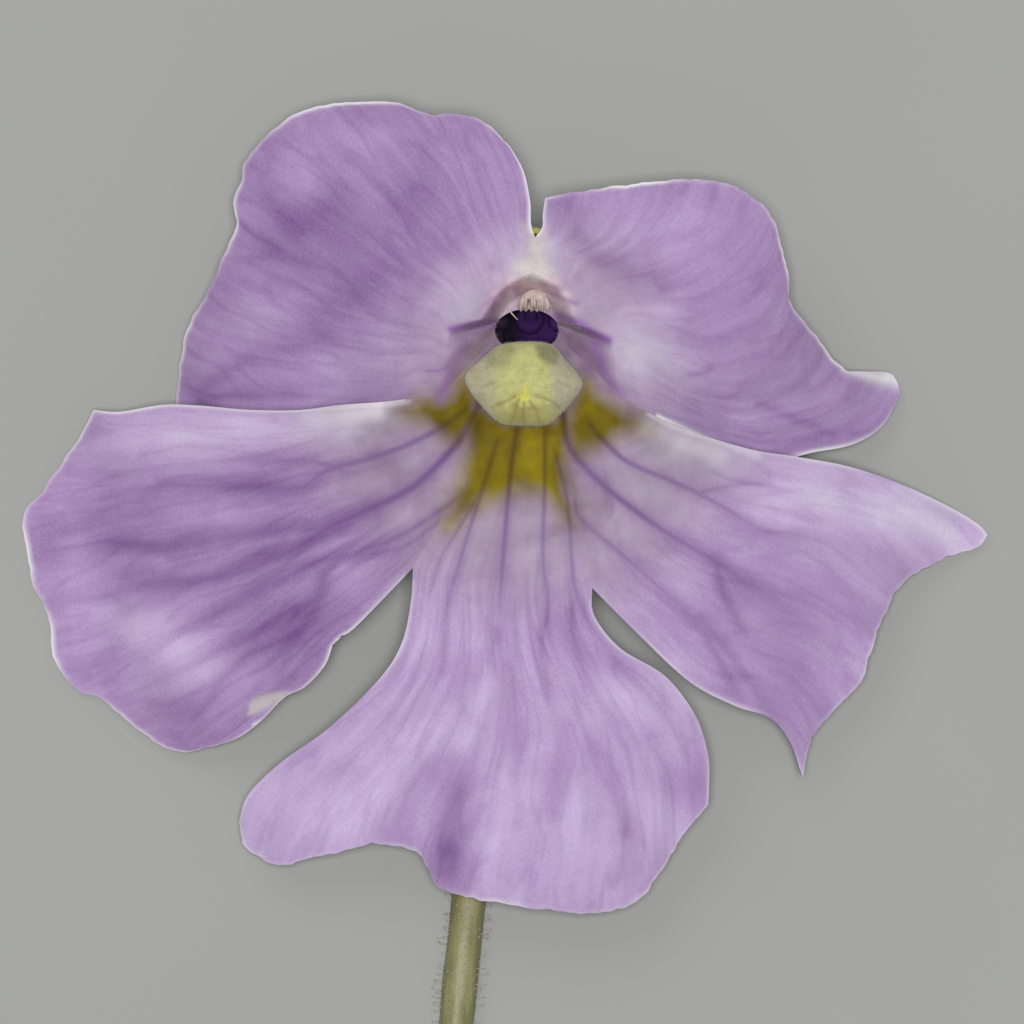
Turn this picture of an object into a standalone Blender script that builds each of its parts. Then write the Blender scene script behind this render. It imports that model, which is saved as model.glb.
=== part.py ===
# A butterwort flower as picked, lying face up on a surface with its stalk along that surface.
# The throat looks up along +Z, the two upper petal lobes point to +Y and the stalk runs to -Y.
# Lengths here are in millimetres, measured from the point on the surface straight below the
# throat, and mesh_object and stem turn them to metres. Last, settle moves the whole flower so
# that the origin is on the surface, under the middle of its box.
import math

import bmesh
import bpy
import numpy as np
from mathutils import Matrix

MM = 0.001

# Driving dimensions of the whole flower.
FACE_HEIGHT = 7.8        # height of the mouth's rim above the surface
BLADE = 0.62             # thickness of petals, tube wall and sepals
PRESSED = 0.02           # a petal that lies on the surface is pressed flat by this much
STALK_LENGTH = 58.0      # how far the stalk reaches from below the throat to its cut end

# How the petals droop: height lost at 1 mm past the rim, towards the back and to the sides.
MOUTH_CENTRE = (0.1, -0.9)
MOUTH_RADIUS = 3.2
DROOP_AHEAD = 0.13
DROOP_SIDEWAYS = 0.15
DROOP_POWER = 1.25

# Each lobe's outline seen from above, counterclockwise round the mouth. side_a and side_b run from
# the lobe's two roots out to its two corners, and edge runs between those corners. root lies
# between the roots, and rim is the lobe's share of the mouth's rim.
LOBES = [
    {
        "name": "upper_left",
        "columns": 18,
        "rim": [(0.2, 3.1), (-1.5, 2.3), (-2.7, 0.6), (-3.0, -0.7), (-3.25, -1.95)],
        "root": [(0.3, 3.6), (-1.9, 3.0), (-3.3, 0.9), (-3.9, -1.9)],
        "side_a": [(0.3, 3.6), (0.1, 4.3), (0.1, 5.3), (-0.1, 6.4), (-0.6, 7.2)],
        "edge": [(-0.6, 7.2), (-1.4, 8.0), (-2.4, 8.4), (-3.4, 8.5), (-4.3, 8.8), (-6.3, 8.9), (-7.9, 8.6),
                 (-9.2, 8.0), (-10.2, 6.9), (-10.5, 6.0), (-10.8, 5.3), (-10.6, 4.5), (-11.4, 2.6),
                 (-12.4, 0.8), (-12.8, -1.0), (-12.9, -2.6)],
        "side_b": [(-3.9, -1.9), (-4.6, -1.75), (-5.6, -2.0), (-7.2, -2.4), (-8.6, -2.7), (-10.1, -2.9),
                   (-11.6, -3.0), (-12.9, -2.6)],
        "wave": 0.35,
        "cycles": 1.6,
        "phase": 0.15,
        "drop_a": 0.0,
        "drop_b": 1.7,
    },
    {
        "name": "lower_left",
        "columns": 18,
        "rim": [(-3.25, -1.95), (-2.5, -2.9), (-1.4, -3.4)],
        "root": [(-3.9, -1.9), (-4.4, -5.0), (-4.1, -8.1)],
        "side_a": [(-3.9, -1.9), (-5.3, -2.1), (-6.8, -2.2), (-8.3, -2.3), (-10.1, -2.3), (-11.9, -2.2),
                   (-13.3, -2.1), (-14.9, -2.4), (-15.9, -2.3)],
        "edge": [(-15.9, -2.3), (-16.6, -3.6), (-17.7, -5.1), (-18.5, -6.2), (-18.4, -7.4), (-18.2, -8.7),
                 (-17.5, -10.1), (-17.4, -11.5), (-16.6, -12.5), (-15.7, -13.0), (-14.4, -14.0),
                 (-12.5, -14.8), (-11.4, -14.7)],
        "side_b": [(-4.1, -8.1), (-5.2, -9.1), (-6.4, -10.3), (-7.0, -10.7), (-7.4, -11.6), (-8.1, -12.4),
                   (-8.8, -12.8), (-9.7, -13.7), (-10.5, -14.3), (-11.4, -14.7)],
        "wave": 0.45,
        "cycles": 1.5,
        "phase": 0.3,
        "drop_a": -0.35,
        "drop_b": 0.0,
    },
    {
        "name": "lower_middle",
        "columns": 21,
        "rim": [(-1.4, -3.4), (0.1, -3.6), (1.5, -3.4)],
        "root": [(-4.1, -8.1), (-0.9, -8.9), (2.4, -8.8)],
        "side_a": [(-4.1, -8.1), (-4.2, -9.2), (-4.5, -10.8), (-5.3, -12.1), (-7.2, -13.9), (-9.0, -15.2),
                   (-10.2, -16.4), (-10.6, -17.4)],
        "edge": [(-10.6, -17.4), (-10.3, -18.4), (-9.1, -19.0), (-7.6, -18.6), (-5.7, -18.2), (-4.3, -18.4),
                 (-3.6, -19.1), (-3.2, -19.8), (-1.7, -20.2), (0.5, -20.6), (2.7, -20.7), (4.0, -20.3),
                 (4.9, -19.3), (5.6, -18.0), (6.6, -16.8)],
        "side_b": [(2.4, -8.8), (2.4, -9.8), (3.4, -11.0), (5.0, -12.0), (6.1, -13.5), (6.6, -14.9),
                   (6.7, -16.0), (6.6, -16.8)],
        "wave": 0.4,
        "cycles": 2.0,
        "phase": 0.0,
        "drop_a": 0.0,
        "drop_b": 0.0,
    },
    {
        "name": "lower_right",
        "columns": 18,
        "rim": [(1.5, -3.4), (2.8, -2.9), (3.6, -2.0)],
        "root": [(2.4, -8.8), (4.2, -5.6), (4.3, -2.4)],
        "side_a": [(2.4, -8.8), (4.1, -10.6), (5.9, -12.2), (7.6, -13.1), (8.9, -13.6), (9.6, -14.5),
                   (10.1, -15.8)],
        "edge": [(10.1, -15.8), (10.4, -14.3), (11.5, -13.1), (12.3, -12.2), (12.5, -11.3), (13.1, -9.7),
                 (13.9, -8.5), (15.4, -7.7), (16.6, -7.3), (17.0, -6.9)],
        "side_b": [(4.3, -2.4), (5.9, -3.1), (8.1, -3.8), (9.8, -4.0), (11.8, -4.4), (13.7, -5.0),
                   (15.5, -5.9), (16.6, -6.5), (17.0, -6.9)],
        "wave": 0.35,
        "cycles": 1.5,
        "phase": 0.55,
        "drop_a": 0.0,
        "drop_b": -0.1,
    },
    {
        "name": "upper_right",
        "columns": 15,
        "rim": [(3.6, -2.0), (3.3, -0.9), (2.9, 0.5), (1.8, 2.3), (0.2, 3.1)],
        "root": [(4.3, -2.4), (3.9, 0.7), (2.5, 2.8), (0.3, 3.6)],
        "side_a": [(4.3, -2.4), (5.6, -2.6), (7.4, -3.2), (9.0, -3.7), (10.5, -3.8), (12.0, -3.6),
                   (13.1, -2.9), (13.8, -1.7)],
        "edge": [(13.8, -1.7), (13.4, -1.1), (12.3, -1.1), (11.5, -0.7), (10.5, 0.4), (9.7, 1.6), (9.4, 3.1),
                 (9.0, 4.4), (8.2, 5.4), (7.0, 6.0), (4.8, 6.0), (2.7, 5.7), (0.7, 5.3)],
        "side_b": [(0.3, 3.6), (0.6, 4.1), (0.6, 4.7), (0.7, 5.3)],
        "wave": 0.3,
        "cycles": 1.4,
        "phase": 0.6,
        "drop_a": 1.6,
        "drop_b": 0.0,
    },
]
LOBE_ROWS = 12
DROP_REACH = 0.2         # a side is fully tucked under its neighbour at this share of its length
COLLAR_ROWS = 3          # rows from the lobes' roots to the rim of the mouth

# The mouth rolls over into the tube: how far each ring lies inside the rim, and below it.
FLARE = [(0.45, 0.2), (0.85, 0.7), (1.1, 1.5)]
TUBE_CENTRE = (0.1, 0.0)
TUBE = [(2.1, 2.4), (1.9, 3.1), (1.2, 3.6)]      # radius of the tube's inside, and depth below the rim
TUBE_DEPTH = 3.7
TUBE_THINNING = 3        # the tube has one column for each three of the petals

# The spur leaves the tube below the palate, passes beside the stalk and rests on the surface.
SPUR_PATH = [(0.5, -1.0, 4.3), (1.1, -2.3, 3.2), (1.7, -3.5, 1.7), (2.1, -4.7, 0.85), (2.5, -6.0, 0.62)]
SPUR_RADII = [1.1, 1.05, 0.95, 0.95, 0.68]
SPUR_RINGS = 12

# The stalk lies along the surface, then bends up into the calyx.
STALK_RADII = [0.74, 0.67, 0.64, 0.62, 0.59, 0.56, 0.55, 0.56, 0.59]
STALK_PATH = [(-5.6, -STALK_LENGTH, 0.69), (-4.6, -46.0, 0.62), (-3.4, -33.0, 0.59), (-2.1, -20.0, 0.57),
              (-0.9, -9.0, 0.54), (-0.3, -3.4, 0.51), (0.0, -1.2, 0.7), (0.1, 0.1, 1.27), (0.1, 0.45, 1.98)]
STALK_RINGS = 40

# The calyx: a small cup under the tube and five sepals, by direction, length and half width.
CUP_CENTRE = (0.1, 0.45, 2.72)
CUP_RADIUS = 1.35
CUP_NECK = 0.8
CUP_DEPTH = 0.85
CUP_SIDES = 20
SEPAL_ROWS = 7
SEPAL_START = (0.8, 0.2)     # how far out and how high over the middle of the cup a sepal's upper face starts
SEPAL_RISE = 0.85            # height gained from there to the tip, as a share of the sepal's length
SEPAL_KEEL = 0.12            # how much a sepal's sides stand above its middle line
SEPALS = [(87, 3.1, 0.62), (30, 2.6, 0.55), (146, 2.6, 0.55), (-26, 2.3, 0.5), (206, 2.3, 0.5)]

# The palate, a cushion in the lower half of the mouth: its outline from above, and its section
# as share of the outline, height against the rim, and how far that ring shifts up the throat.
PALATE_CENTRE = (-0.1, -1.35)
PALATE_OUTLINE = [(0.0, 1.45), (-0.9, 1.35), (-1.75, 0.75), (-2.1, 0.0), (-1.5, -0.95), (-0.7, -1.5),
                  (0.0, -1.55), (0.7, -1.5), (1.5, -0.95), (2.1, 0.0), (1.75, 0.75), (0.9, 1.35)]
PALATE_SECTION = [(0.35, 0.78, 0.0), (0.68, 0.62, 0.0), (0.9, 0.35, 0.0), (1.0, 0.05, 0.0), (0.93, -0.25, 0.0),
                  (0.8, -0.75, 0.3), (0.68, -1.3, 0.42), (0.6, -1.9, 0.45)]
PALATE_TOP = 0.82
PALATE_FOOT = -2.0
PALATE_COLUMNS = 24

# Stigma, style and ovary, and the two stamens beside them.
OVARY_CENTRE = (0.1, 0.95, 4.85)
OVARY_RADIUS = 0.52
STYLE_PATH = [(0.13, 1.0, 5.15), (0.2, 1.2, 5.9), (0.3, 1.5, 6.5)]
STYLE_RADII = [0.3, 0.25, 0.17]
STYLE_RINGS = 6
STIGMA_CENTRE = (0.3, 1.32, 6.48)
STIGMA_ARCH_STEPS = 12
STIGMA_TEETH = 6
STIGMA_TOOTH = 0.22
STIGMA_HALF_WIDTH = 0.62
STIGMA_REACH = 0.5
STIGMA_THICKNESS = 0.5
STIGMA_TILT = math.radians(14)
STAMEN_PATH = [(0.85, -0.25, 4.6), (1.15, 0.3, 4.65), (1.05, 0.85, 4.85)]
STAMEN_RADIUS = 0.22
STAMEN_RINGS = 7
ANTHER_RADII = (0.38, 0.34, 0.34)


def clear_scene():
    for thing in list(bpy.data.objects):
        bpy.data.objects.remove(thing, do_unlink=True)


def finish(name, colour, roughness):
    """A plain finish with the piece's own colour."""
    made = bpy.data.materials.new(name)
    made.use_nodes = True
    shader = made.node_tree.nodes["Principled BSDF"]
    shader.inputs["Base Color"].default_value = (*colour, 1.0)
    shader.inputs["Roughness"].default_value = roughness
    shader.inputs["Metallic"].default_value = 0.0
    return made


def mesh_object(name, points, faces, collection):
    """A mesh from points in millimetres, linked into the collection."""
    mesh = bpy.data.meshes.new(name)
    mesh.from_pydata([tuple(MM * float(c) for c in point) for point in points], [], faces)
    made = bpy.data.objects.new(name, mesh)
    collection.objects.link(made)
    return made


def move_to(thing, collection):
    for owner in list(thing.users_collection):
        owner.objects.unlink(thing)
    collection.objects.link(thing)


def smooth_curve(points, count):
    """count points evenly spaced on the rounded curve (Catmull-Rom) through these points."""
    given = np.array(points, float)
    ends = np.vstack([2 * given[0] - given[1], given, 2 * given[-1] - given[-2]])
    t = np.linspace(0, 1, 20, endpoint=False)[:, None]
    spans = []
    for p0, p1, p2, p3 in zip(ends, ends[1:], ends[2:], ends[3:]):
        spans.append(0.5 * (2 * p1 + (p2 - p0) * t + (2 * p0 - 5 * p1 + 4 * p2 - p3) * t**2
                            + (3 * p1 - p0 - 3 * p2 + p3) * t**3))
    fine = np.vstack([*spans, given[-1:]])
    along = np.r_[0, np.cumsum(np.linalg.norm(np.diff(fine, axis=0), axis=1))]
    wanted = np.linspace(0, along[-1], count)
    return np.stack([np.interp(wanted, along, fine[:, axis]) for axis in range(fine.shape[1])], axis=1)


def smooth_step(value):
    t = np.clip(value, 0, 1)
    return t * t * (3 - 2 * t)


def face_height(x, y):
    """Height of the petals' upper face: level at the mouth and drooping with distance from it."""
    dx = x - MOUTH_CENTRE[0]
    dy = y - MOUTH_CENTRE[1]
    away = np.hypot(dx, dy)
    sideways = (dx / np.maximum(away, 0.001)) ** 2
    droop = DROOP_AHEAD + DROOP_SIDEWAYS * sideways
    return FACE_HEIGHT - droop * np.maximum(away - MOUTH_RADIUS, 0) ** DROOP_POWER


def lobe_points(lobe):
    """Rows of points from the lobe's root to its edge, on the patch between its four bounding curves."""
    across = np.linspace(0, 1, lobe["columns"] + 1)[None, :, None]
    outward = np.linspace(0, 1, LOBE_ROWS + 1)[:, None, None]
    root = smooth_curve(lobe["root"], lobe["columns"] + 1)[None]
    edge = smooth_curve(lobe["edge"], lobe["columns"] + 1)[None]
    side_a = smooth_curve(lobe["side_a"], LOBE_ROWS + 1)[:, None]
    side_b = smooth_curve(lobe["side_b"], LOBE_ROWS + 1)[:, None]
    flat = (1 - outward) * root + outward * edge + (1 - across) * side_a + across * side_b
    flat = flat - (1 - outward) * ((1 - across) * root[:, :1] + across * root[:, -1:])
    flat = flat - outward * ((1 - across) * edge[:, :1] + across * edge[:, -1:])
    u = across[..., 0]
    v = outward[..., 0]
    wave = lobe["wave"] * v**1.5 * np.sin(2 * math.pi * (lobe["cycles"] * u + lobe["phase"]))
    tuck = smooth_step(v / DROP_REACH)
    drop = lobe["drop_a"] * smooth_step(1 - 2 * u) + lobe["drop_b"] * smooth_step(2 * u - 1)
    height = face_height(flat[..., 0], flat[..., 1]) + wave - tuck * drop
    return np.dstack([flat, np.maximum(height, BLADE - PRESSED)])


def ring_faces(outer, inner):
    """Quads between two closed rings of point numbers, facing the flower's front."""
    return [(inner[i], outer[i], outer[i - len(outer) + 1], inner[i - len(inner) + 1]) for i in range(len(outer))]


def corolla_surface(collection):
    """The petals' front and the inside of the throat and tube, as one open surface."""
    points = []
    faces = []

    def add(rows):
        first = len(points)
        points.extend(rows)
        return list(range(first, first + len(rows)))

    lobes = [lobe_points(lobe) for lobe in LOBES]
    ring = add([point for lobe in lobes for point in lobe[0, :-1]])
    start = 0
    for lobe in lobes:
        count = lobe.shape[1] - 1
        below = [ring[(start + i) % len(ring)] for i in range(count + 1)]
        start += count
        for row in lobe[1:]:
            above = add(row)
            faces += [(below[i], above[i], above[i + 1], below[i + 1]) for i in range(count)]
            below = above

    rim = np.vstack([smooth_curve(lobe["rim"], lobe["columns"] + 1)[:-1] for lobe in LOBES])
    roots = np.array([points[i] for i in ring])
    rings = [ring]
    for step in range(1, COLLAR_ROWS + 1):
        share = step / COLLAR_ROWS
        flat = (1 - share) * roots[:, :2] + share * rim
        level = face_height(flat[:, 0], flat[:, 1])
        rings.append(add(np.column_stack([flat, level])))
    centre = np.array(MOUTH_CENTRE)
    away = np.linalg.norm(rim - centre, axis=1)[:, None]
    rim_height = face_height(rim[:, 0], rim[:, 1])
    for inset, depth in FLARE:
        flat = centre + (rim - centre) * (1 - inset / away)
        rings.append(add(np.column_stack([flat, rim_height - depth])))
    for outer, inner in zip(rings, rings[1:]):
        faces += ring_faces(outer, inner)

    fine = rings[-1]
    count = len(fine) // TUBE_THINNING
    last = np.array([points[i] for i in fine[::TUBE_THINNING]])
    turn = np.arctan2(last[:, 1] - MOUTH_CENTRE[1], last[:, 0] - MOUTH_CENTRE[0])
    tube = []
    for radius, depth in TUBE:
        circle = np.column_stack([TUBE_CENTRE[0] + radius * np.cos(turn), TUBE_CENTRE[1] + radius * np.sin(turn),
                                  np.full(count, FACE_HEIGHT - depth)])
        tube.append(add(circle))
    for i in range(count):
        after = (i + 1) % count
        stretch = [fine[(i * TUBE_THINNING + k) % len(fine)] for k in range(TUBE_THINNING + 1)]
        faces.append((tube[0][i], *stretch, tube[0][after]))
    for outer, inner in zip(tube, tube[1:]):
        faces += ring_faces(outer, inner)
    floor = add([(*TUBE_CENTRE, FACE_HEIGHT - TUBE_DEPTH)])[0]
    faces += [(floor, tube[-1][i], tube[-1][(i + 1) % count]) for i in range(count)]
    return mesh_object("corolla_surface", points, faces, collection)


def thicken(surface, thickness):
    """Splits the surface into triangles, so that both faces match, and gives it a wall behind."""
    cage = bmesh.new()
    cage.from_mesh(surface.data)
    bmesh.ops.triangulate(cage, faces=cage.faces, quad_method="SHORT_EDGE")
    cage.to_mesh(surface.data)
    cage.free()
    wall = surface.modifiers.new("wall", "SOLIDIFY")
    wall.thickness = thickness * MM
    wall.offset = -1.0
    return wall


def stem(name, path, radii, collection, roundness, count):
    """A round stem through the path, thicker or thinner by its radii, with closed ends."""
    route = smooth_curve([(*point, radius) for point, radius in zip(path, radii)], count)
    curve = bpy.data.curves.new(name, "CURVE")
    curve.dimensions = "3D"
    curve.bevel_depth = MM
    curve.bevel_resolution = roundness
    curve.use_fill_caps = True
    spline = curve.splines.new("POLY")
    spline.points.add(count - 1)
    for point, (x, y, z, radius) in zip(spline.points, route):
        point.co = (x * MM, y * MM, z * MM, 1.0)
        point.radius = radius
    made = bpy.data.objects.new(name, curve)
    collection.objects.link(made)
    return made


def as_mesh(thing, collection):
    """The object's finished shape as a plain mesh object with its caps welded, in the object's place."""
    bpy.context.view_layer.update()
    graph = bpy.context.evaluated_depsgraph_get()
    mesh = bpy.data.meshes.new_from_object(thing.evaluated_get(graph))
    weld = bmesh.new()
    weld.from_mesh(mesh)
    bmesh.ops.remove_doubles(weld, verts=weld.verts, dist=0.00001 * MM)
    bmesh.ops.recalc_face_normals(weld, faces=weld.faces)
    weld.to_mesh(mesh)
    weld.free()
    name = thing.name
    matrix = thing.matrix_world.copy()
    bpy.data.objects.remove(thing, do_unlink=True)
    made = bpy.data.objects.new(name, mesh)
    made.matrix_world = matrix
    collection.objects.link(made)
    return made


def united(name, pieces, collection):
    """One body from these pieces: a Boolean union with a collection of all but the first, then applied."""
    solids = [as_mesh(piece, collection) for piece in pieces]
    first = solids[0]
    others = bpy.data.collections.new(name + "_joined")
    bpy.context.scene.collection.children.link(others)
    for solid in solids[1:]:
        collection.objects.unlink(solid)
        others.objects.link(solid)
    join = first.modifiers.new("join", "BOOLEAN")
    join.operation = "UNION"
    join.operand_type = "COLLECTION"
    join.collection = others
    join.solver = "EXACT"
    whole = as_mesh(first, collection)
    for solid in list(others.objects):
        bpy.data.objects.remove(solid, do_unlink=True)
    bpy.data.collections.remove(others)
    whole.name = name
    whole.data.name = name
    return whole


def press_flat(thing):
    """What would sink below the surface lies flat on it."""
    for vertex in thing.data.vertices:
        vertex.co.z = max(vertex.co.z, 0.0)


def dress(thing, look):
    thing.data.materials.clear()
    thing.data.materials.append(look)
    thing.data.shade_smooth()
    thing.data.set_sharp_from_angle(angle=math.radians(40))


def corolla(collection):
    surface = corolla_surface(collection)
    thicken(surface, BLADE)
    spur = stem("spur", SPUR_PATH, SPUR_RADII, collection, roundness=3, count=SPUR_RINGS)
    whole = united("corolla", [surface, spur], collection)
    press_flat(whole)
    dress(whole, finish("lavender_petal", (0.45, 0.32, 0.52), 0.55))


def flower_stalk(collection):
    rod = stem("flower_stalk", STALK_PATH, STALK_RADII, collection, roundness=3, count=STALK_RINGS)
    made = as_mesh(rod, collection)
    press_flat(made)
    dress(made, finish("olive_green_stalk", (0.27, 0.27, 0.11), 0.6))


def sepal(index, direction, length, half_width, collection):
    """A pointed blade that starts inside the cup, leans out and stands up behind the petals."""
    turn = math.radians(direction)
    out = np.array([math.cos(turn), math.sin(turn), 0.0])
    aside = np.array([-math.sin(turn), math.cos(turn), 0.0])
    points = []
    for step in range(SEPAL_ROWS):
        t = step / (SEPAL_ROWS - 1)
        # widest a little below the middle, and almost a point at the tip
        spread = half_width * (0.75 + 0.9 * t - 1.55 * t**3)
        # a quick lean outwards first, then more and more upwards
        middle = np.array(CUP_CENTRE) + out * (SEPAL_START[0] + length * math.sin(0.5 * math.pi * t) ** 0.9)
        middle[2] += SEPAL_START[1] + SEPAL_RISE * length * t**1.9
        for shift in (-1, 0, 1):
            points.append(middle + aside * spread * shift + np.array([0, 0, SEPAL_KEEL * abs(shift)]))
    faces = []
    for row in range(SEPAL_ROWS - 1):
        for column in range(2):
            corner = row * 3 + column
            faces.append((corner, corner + 3, corner + 4, corner + 1))
    blade = mesh_object(f"sepal_{index}", points, faces, collection)
    thicken(blade, BLADE)
    return blade


def calyx(collection):
    bpy.ops.mesh.primitive_cone_add(vertices=CUP_SIDES, radius1=CUP_NECK * MM, radius2=CUP_RADIUS * MM,
                                    depth=CUP_DEPTH * MM, location=[MM * c for c in CUP_CENTRE])
    cup = bpy.context.object
    move_to(cup, collection)
    sepals = [sepal(i, *shape, collection) for i, shape in enumerate(SEPALS)]
    whole = united("calyx", [cup, *sepals], collection)
    dress(whole, finish("yellow_green_calyx", (0.36, 0.42, 0.14), 0.55))


def palate(collection):
    columns = PALATE_COLUMNS
    outline = smooth_curve([*PALATE_OUTLINE, PALATE_OUTLINE[0]], columns + 1)[:-1]
    centre = np.array(PALATE_CENTRE)
    points = [(*centre, FACE_HEIGHT + PALATE_TOP)]
    for share, height, shift in PALATE_SECTION:
        flat = centre + share * outline + np.array([0, shift])
        points += [(*spot, FACE_HEIGHT + height) for spot in flat]
    points.append((centre[0], centre[1] + shift, FACE_HEIGHT + PALATE_FOOT))
    faces = [(0, 1 + i, 1 + (i + 1) % columns) for i in range(columns)]
    for ring in range(len(PALATE_SECTION) - 1):
        first = 1 + ring * columns
        for i in range(columns):
            after = (i + 1) % columns
            faces.append((first + i, first + columns + i, first + columns + after, first + after))
    first = 1 + (len(PALATE_SECTION) - 1) * columns
    faces += [(len(points) - 1, first + (i + 1) % columns, first + i) for i in range(columns)]
    made = mesh_object("palate", points, faces, collection)
    dress(made, finish("cream_yellow_palate", (0.52, 0.53, 0.21), 0.6))


def ball(name, centre, radii, collection):
    bpy.ops.mesh.primitive_uv_sphere_add(segments=14, ring_count=9, radius=MM, location=[MM * c for c in centre])
    made = bpy.context.object
    made.name = name
    made.data.transform(Matrix.Diagonal((*radii, 1.0)))
    move_to(made, collection)
    return made


def stigma(collection):
    """The fringed lip: a half ellipse that arches over the throat, with teeth along its straight edge."""
    turns = [math.pi * step / STIGMA_ARCH_STEPS for step in range(STIGMA_ARCH_STEPS + 1)]
    outline = [(STIGMA_HALF_WIDTH * math.cos(turn), STIGMA_REACH * math.sin(turn)) for turn in turns]
    for step in range(1, 2 * STIGMA_TEETH):
        across = step / STIGMA_TEETH - 1
        outline.append((STIGMA_HALF_WIDTH * across, -STIGMA_TOOTH if step % 2 else 0.0))
    curve = bpy.data.curves.new("stigma", "CURVE")
    curve.dimensions = "2D"
    curve.fill_mode = "BOTH"
    curve.extrude = STIGMA_THICKNESS / 2 * MM
    spline = curve.splines.new("POLY")
    spline.points.add(len(outline) - 1)
    for point, (x, y) in zip(spline.points, outline):
        point.co = (x * MM, y * MM, 0.0, 1.0)
    spline.use_cyclic_u = True
    fan = bpy.data.objects.new("stigma", curve)
    fan.location = [MM * c for c in STIGMA_CENTRE]
    fan.rotation_euler.x = STIGMA_TILT
    collection.objects.link(fan)
    return fan


def pistil(collection):
    ovary = ball("ovary", OVARY_CENTRE, (OVARY_RADIUS,) * 3, collection)
    style = stem("style", STYLE_PATH, STYLE_RADII, collection, roundness=2, count=STYLE_RINGS)
    whole = united("pistil", [ovary, style, stigma(collection)], collection)
    dress(whole, finish("pale_pistil", (0.5, 0.44, 0.42), 0.5))


def stamen(name, side, collection):
    path = [(OVARY_CENTRE[0] + side * x, y, z) for x, y, z in STAMEN_PATH]
    radii = [STAMEN_RADIUS] * len(path)
    filament = stem(name + "_filament", path, radii, collection, roundness=2, count=STAMEN_RINGS)
    anther = ball(name + "_anther", path[-1], ANTHER_RADII, collection)
    whole = united(name, [filament, anther], collection)
    dress(whole, finish("pale_yellow_stamen", (0.6, 0.53, 0.3), 0.5))


def settle(collection):
    """Moves every piece alike, so that the origin is under the middle of the whole flower's box."""
    bpy.context.view_layer.update()
    spots = []
    for thing in collection.objects:
        thing.data.transform(thing.matrix_world)
        thing.matrix_world = Matrix.Identity(4)
        spots += [vertex.co[:2] for vertex in thing.data.vertices]
    middle = (np.min(spots, axis=0) + np.max(spots, axis=0)) / 2
    for thing in collection.objects:
        thing.data.transform(Matrix.Translation((-middle[0], -middle[1], 0.0)))


def main():
    clear_scene()
    flower = bpy.data.collections.new("butterwort_flower")
    bpy.context.scene.collection.children.link(flower)
    corolla(flower)
    flower_stalk(flower)
    calyx(flower)
    palate(flower)
    pistil(flower)
    stamen("stamen_left", -1, flower)
    stamen("stamen_right", 1, flower)
    settle(flower)


main()
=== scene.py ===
import math

import bpy
import numpy as np
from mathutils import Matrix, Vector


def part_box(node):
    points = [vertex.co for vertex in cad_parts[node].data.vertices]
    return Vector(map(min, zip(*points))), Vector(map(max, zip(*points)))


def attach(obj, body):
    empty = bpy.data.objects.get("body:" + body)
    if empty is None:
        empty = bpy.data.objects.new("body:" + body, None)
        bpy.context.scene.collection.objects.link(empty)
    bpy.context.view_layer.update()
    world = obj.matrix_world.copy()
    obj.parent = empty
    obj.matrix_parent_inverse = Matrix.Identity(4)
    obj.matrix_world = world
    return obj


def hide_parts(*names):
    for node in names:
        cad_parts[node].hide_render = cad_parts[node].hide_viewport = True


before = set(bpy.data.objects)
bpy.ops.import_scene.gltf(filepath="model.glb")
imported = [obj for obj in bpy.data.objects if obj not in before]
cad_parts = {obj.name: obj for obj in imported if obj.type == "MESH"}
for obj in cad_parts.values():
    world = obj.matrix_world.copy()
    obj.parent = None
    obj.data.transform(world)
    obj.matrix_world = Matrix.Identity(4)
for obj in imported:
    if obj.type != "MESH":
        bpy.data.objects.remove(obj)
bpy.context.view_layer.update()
print("frame loaded")

mm = 0.001
palateLow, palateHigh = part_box("palate")
# the palate's middle stands 0.1 mm left of the throat's, and its top edge 0.11 mm behind it
throat = np.array([(palateLow.x + palateHigh.x) / 2 / mm + 0.1, palateHigh.y / mm - 0.11, 0.0])
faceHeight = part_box("corolla")[1].z / mm
print("face height", round(faceHeight, 3))
mouthCentre = np.array([0.1, -0.9])

view = {
    "over": (-0.54, -6.05),          # the camera looks straight down over this place
    "height": 457.8,
    "lens": 436.6,
    "sensor": 36.0,
}
droop = {
    "rimRadius": 3.2,                # level up to here, measured from the mouth's centre
    "ahead": 0.13,                   # height lost 1 mm further out, towards the front and back
    "sideways": 0.15,                # and as much again to the sides
    "power": 1.25,
}


def toLinear(colour):
    # sRGB hex to linear: each channel by the standard curve, straight near black and a power above
    channels = np.array([int(colour[i:i + 2], 16) for i in (1, 3, 5)]) / 255
    linear = np.where(channels <= 0.04045, channels / 12.92, ((channels + 0.055) / 1.055) ** 2.4)
    return (*linear.tolist(), 1.0)


def perMetre(size):
    # the texture scale that gives features about this many millimetres wide
    return 1 / (size * mm)


def smoothStep(value):
    # 0 below 0 and 1 above 1, with the cubic 3t^2 - 2t^3 between
    t = np.clip(value, 0, 1)
    return t * t * (3 - 2 * t)


def bell(value):
    # the bell curve e^(-t^2)
    return np.exp(-value**2)


def unit(vectors):
    # each vector divided by its own length
    return vectors / np.maximum(np.linalg.norm(vectors, axis=-1, keepdims=True), 1e-12)


def gridNormal(grid):
    # the cross product of a grid's two directions, at unit length
    return unit(np.cross(np.gradient(grid, axis=0), np.gradient(grid, axis=1)))


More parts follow.
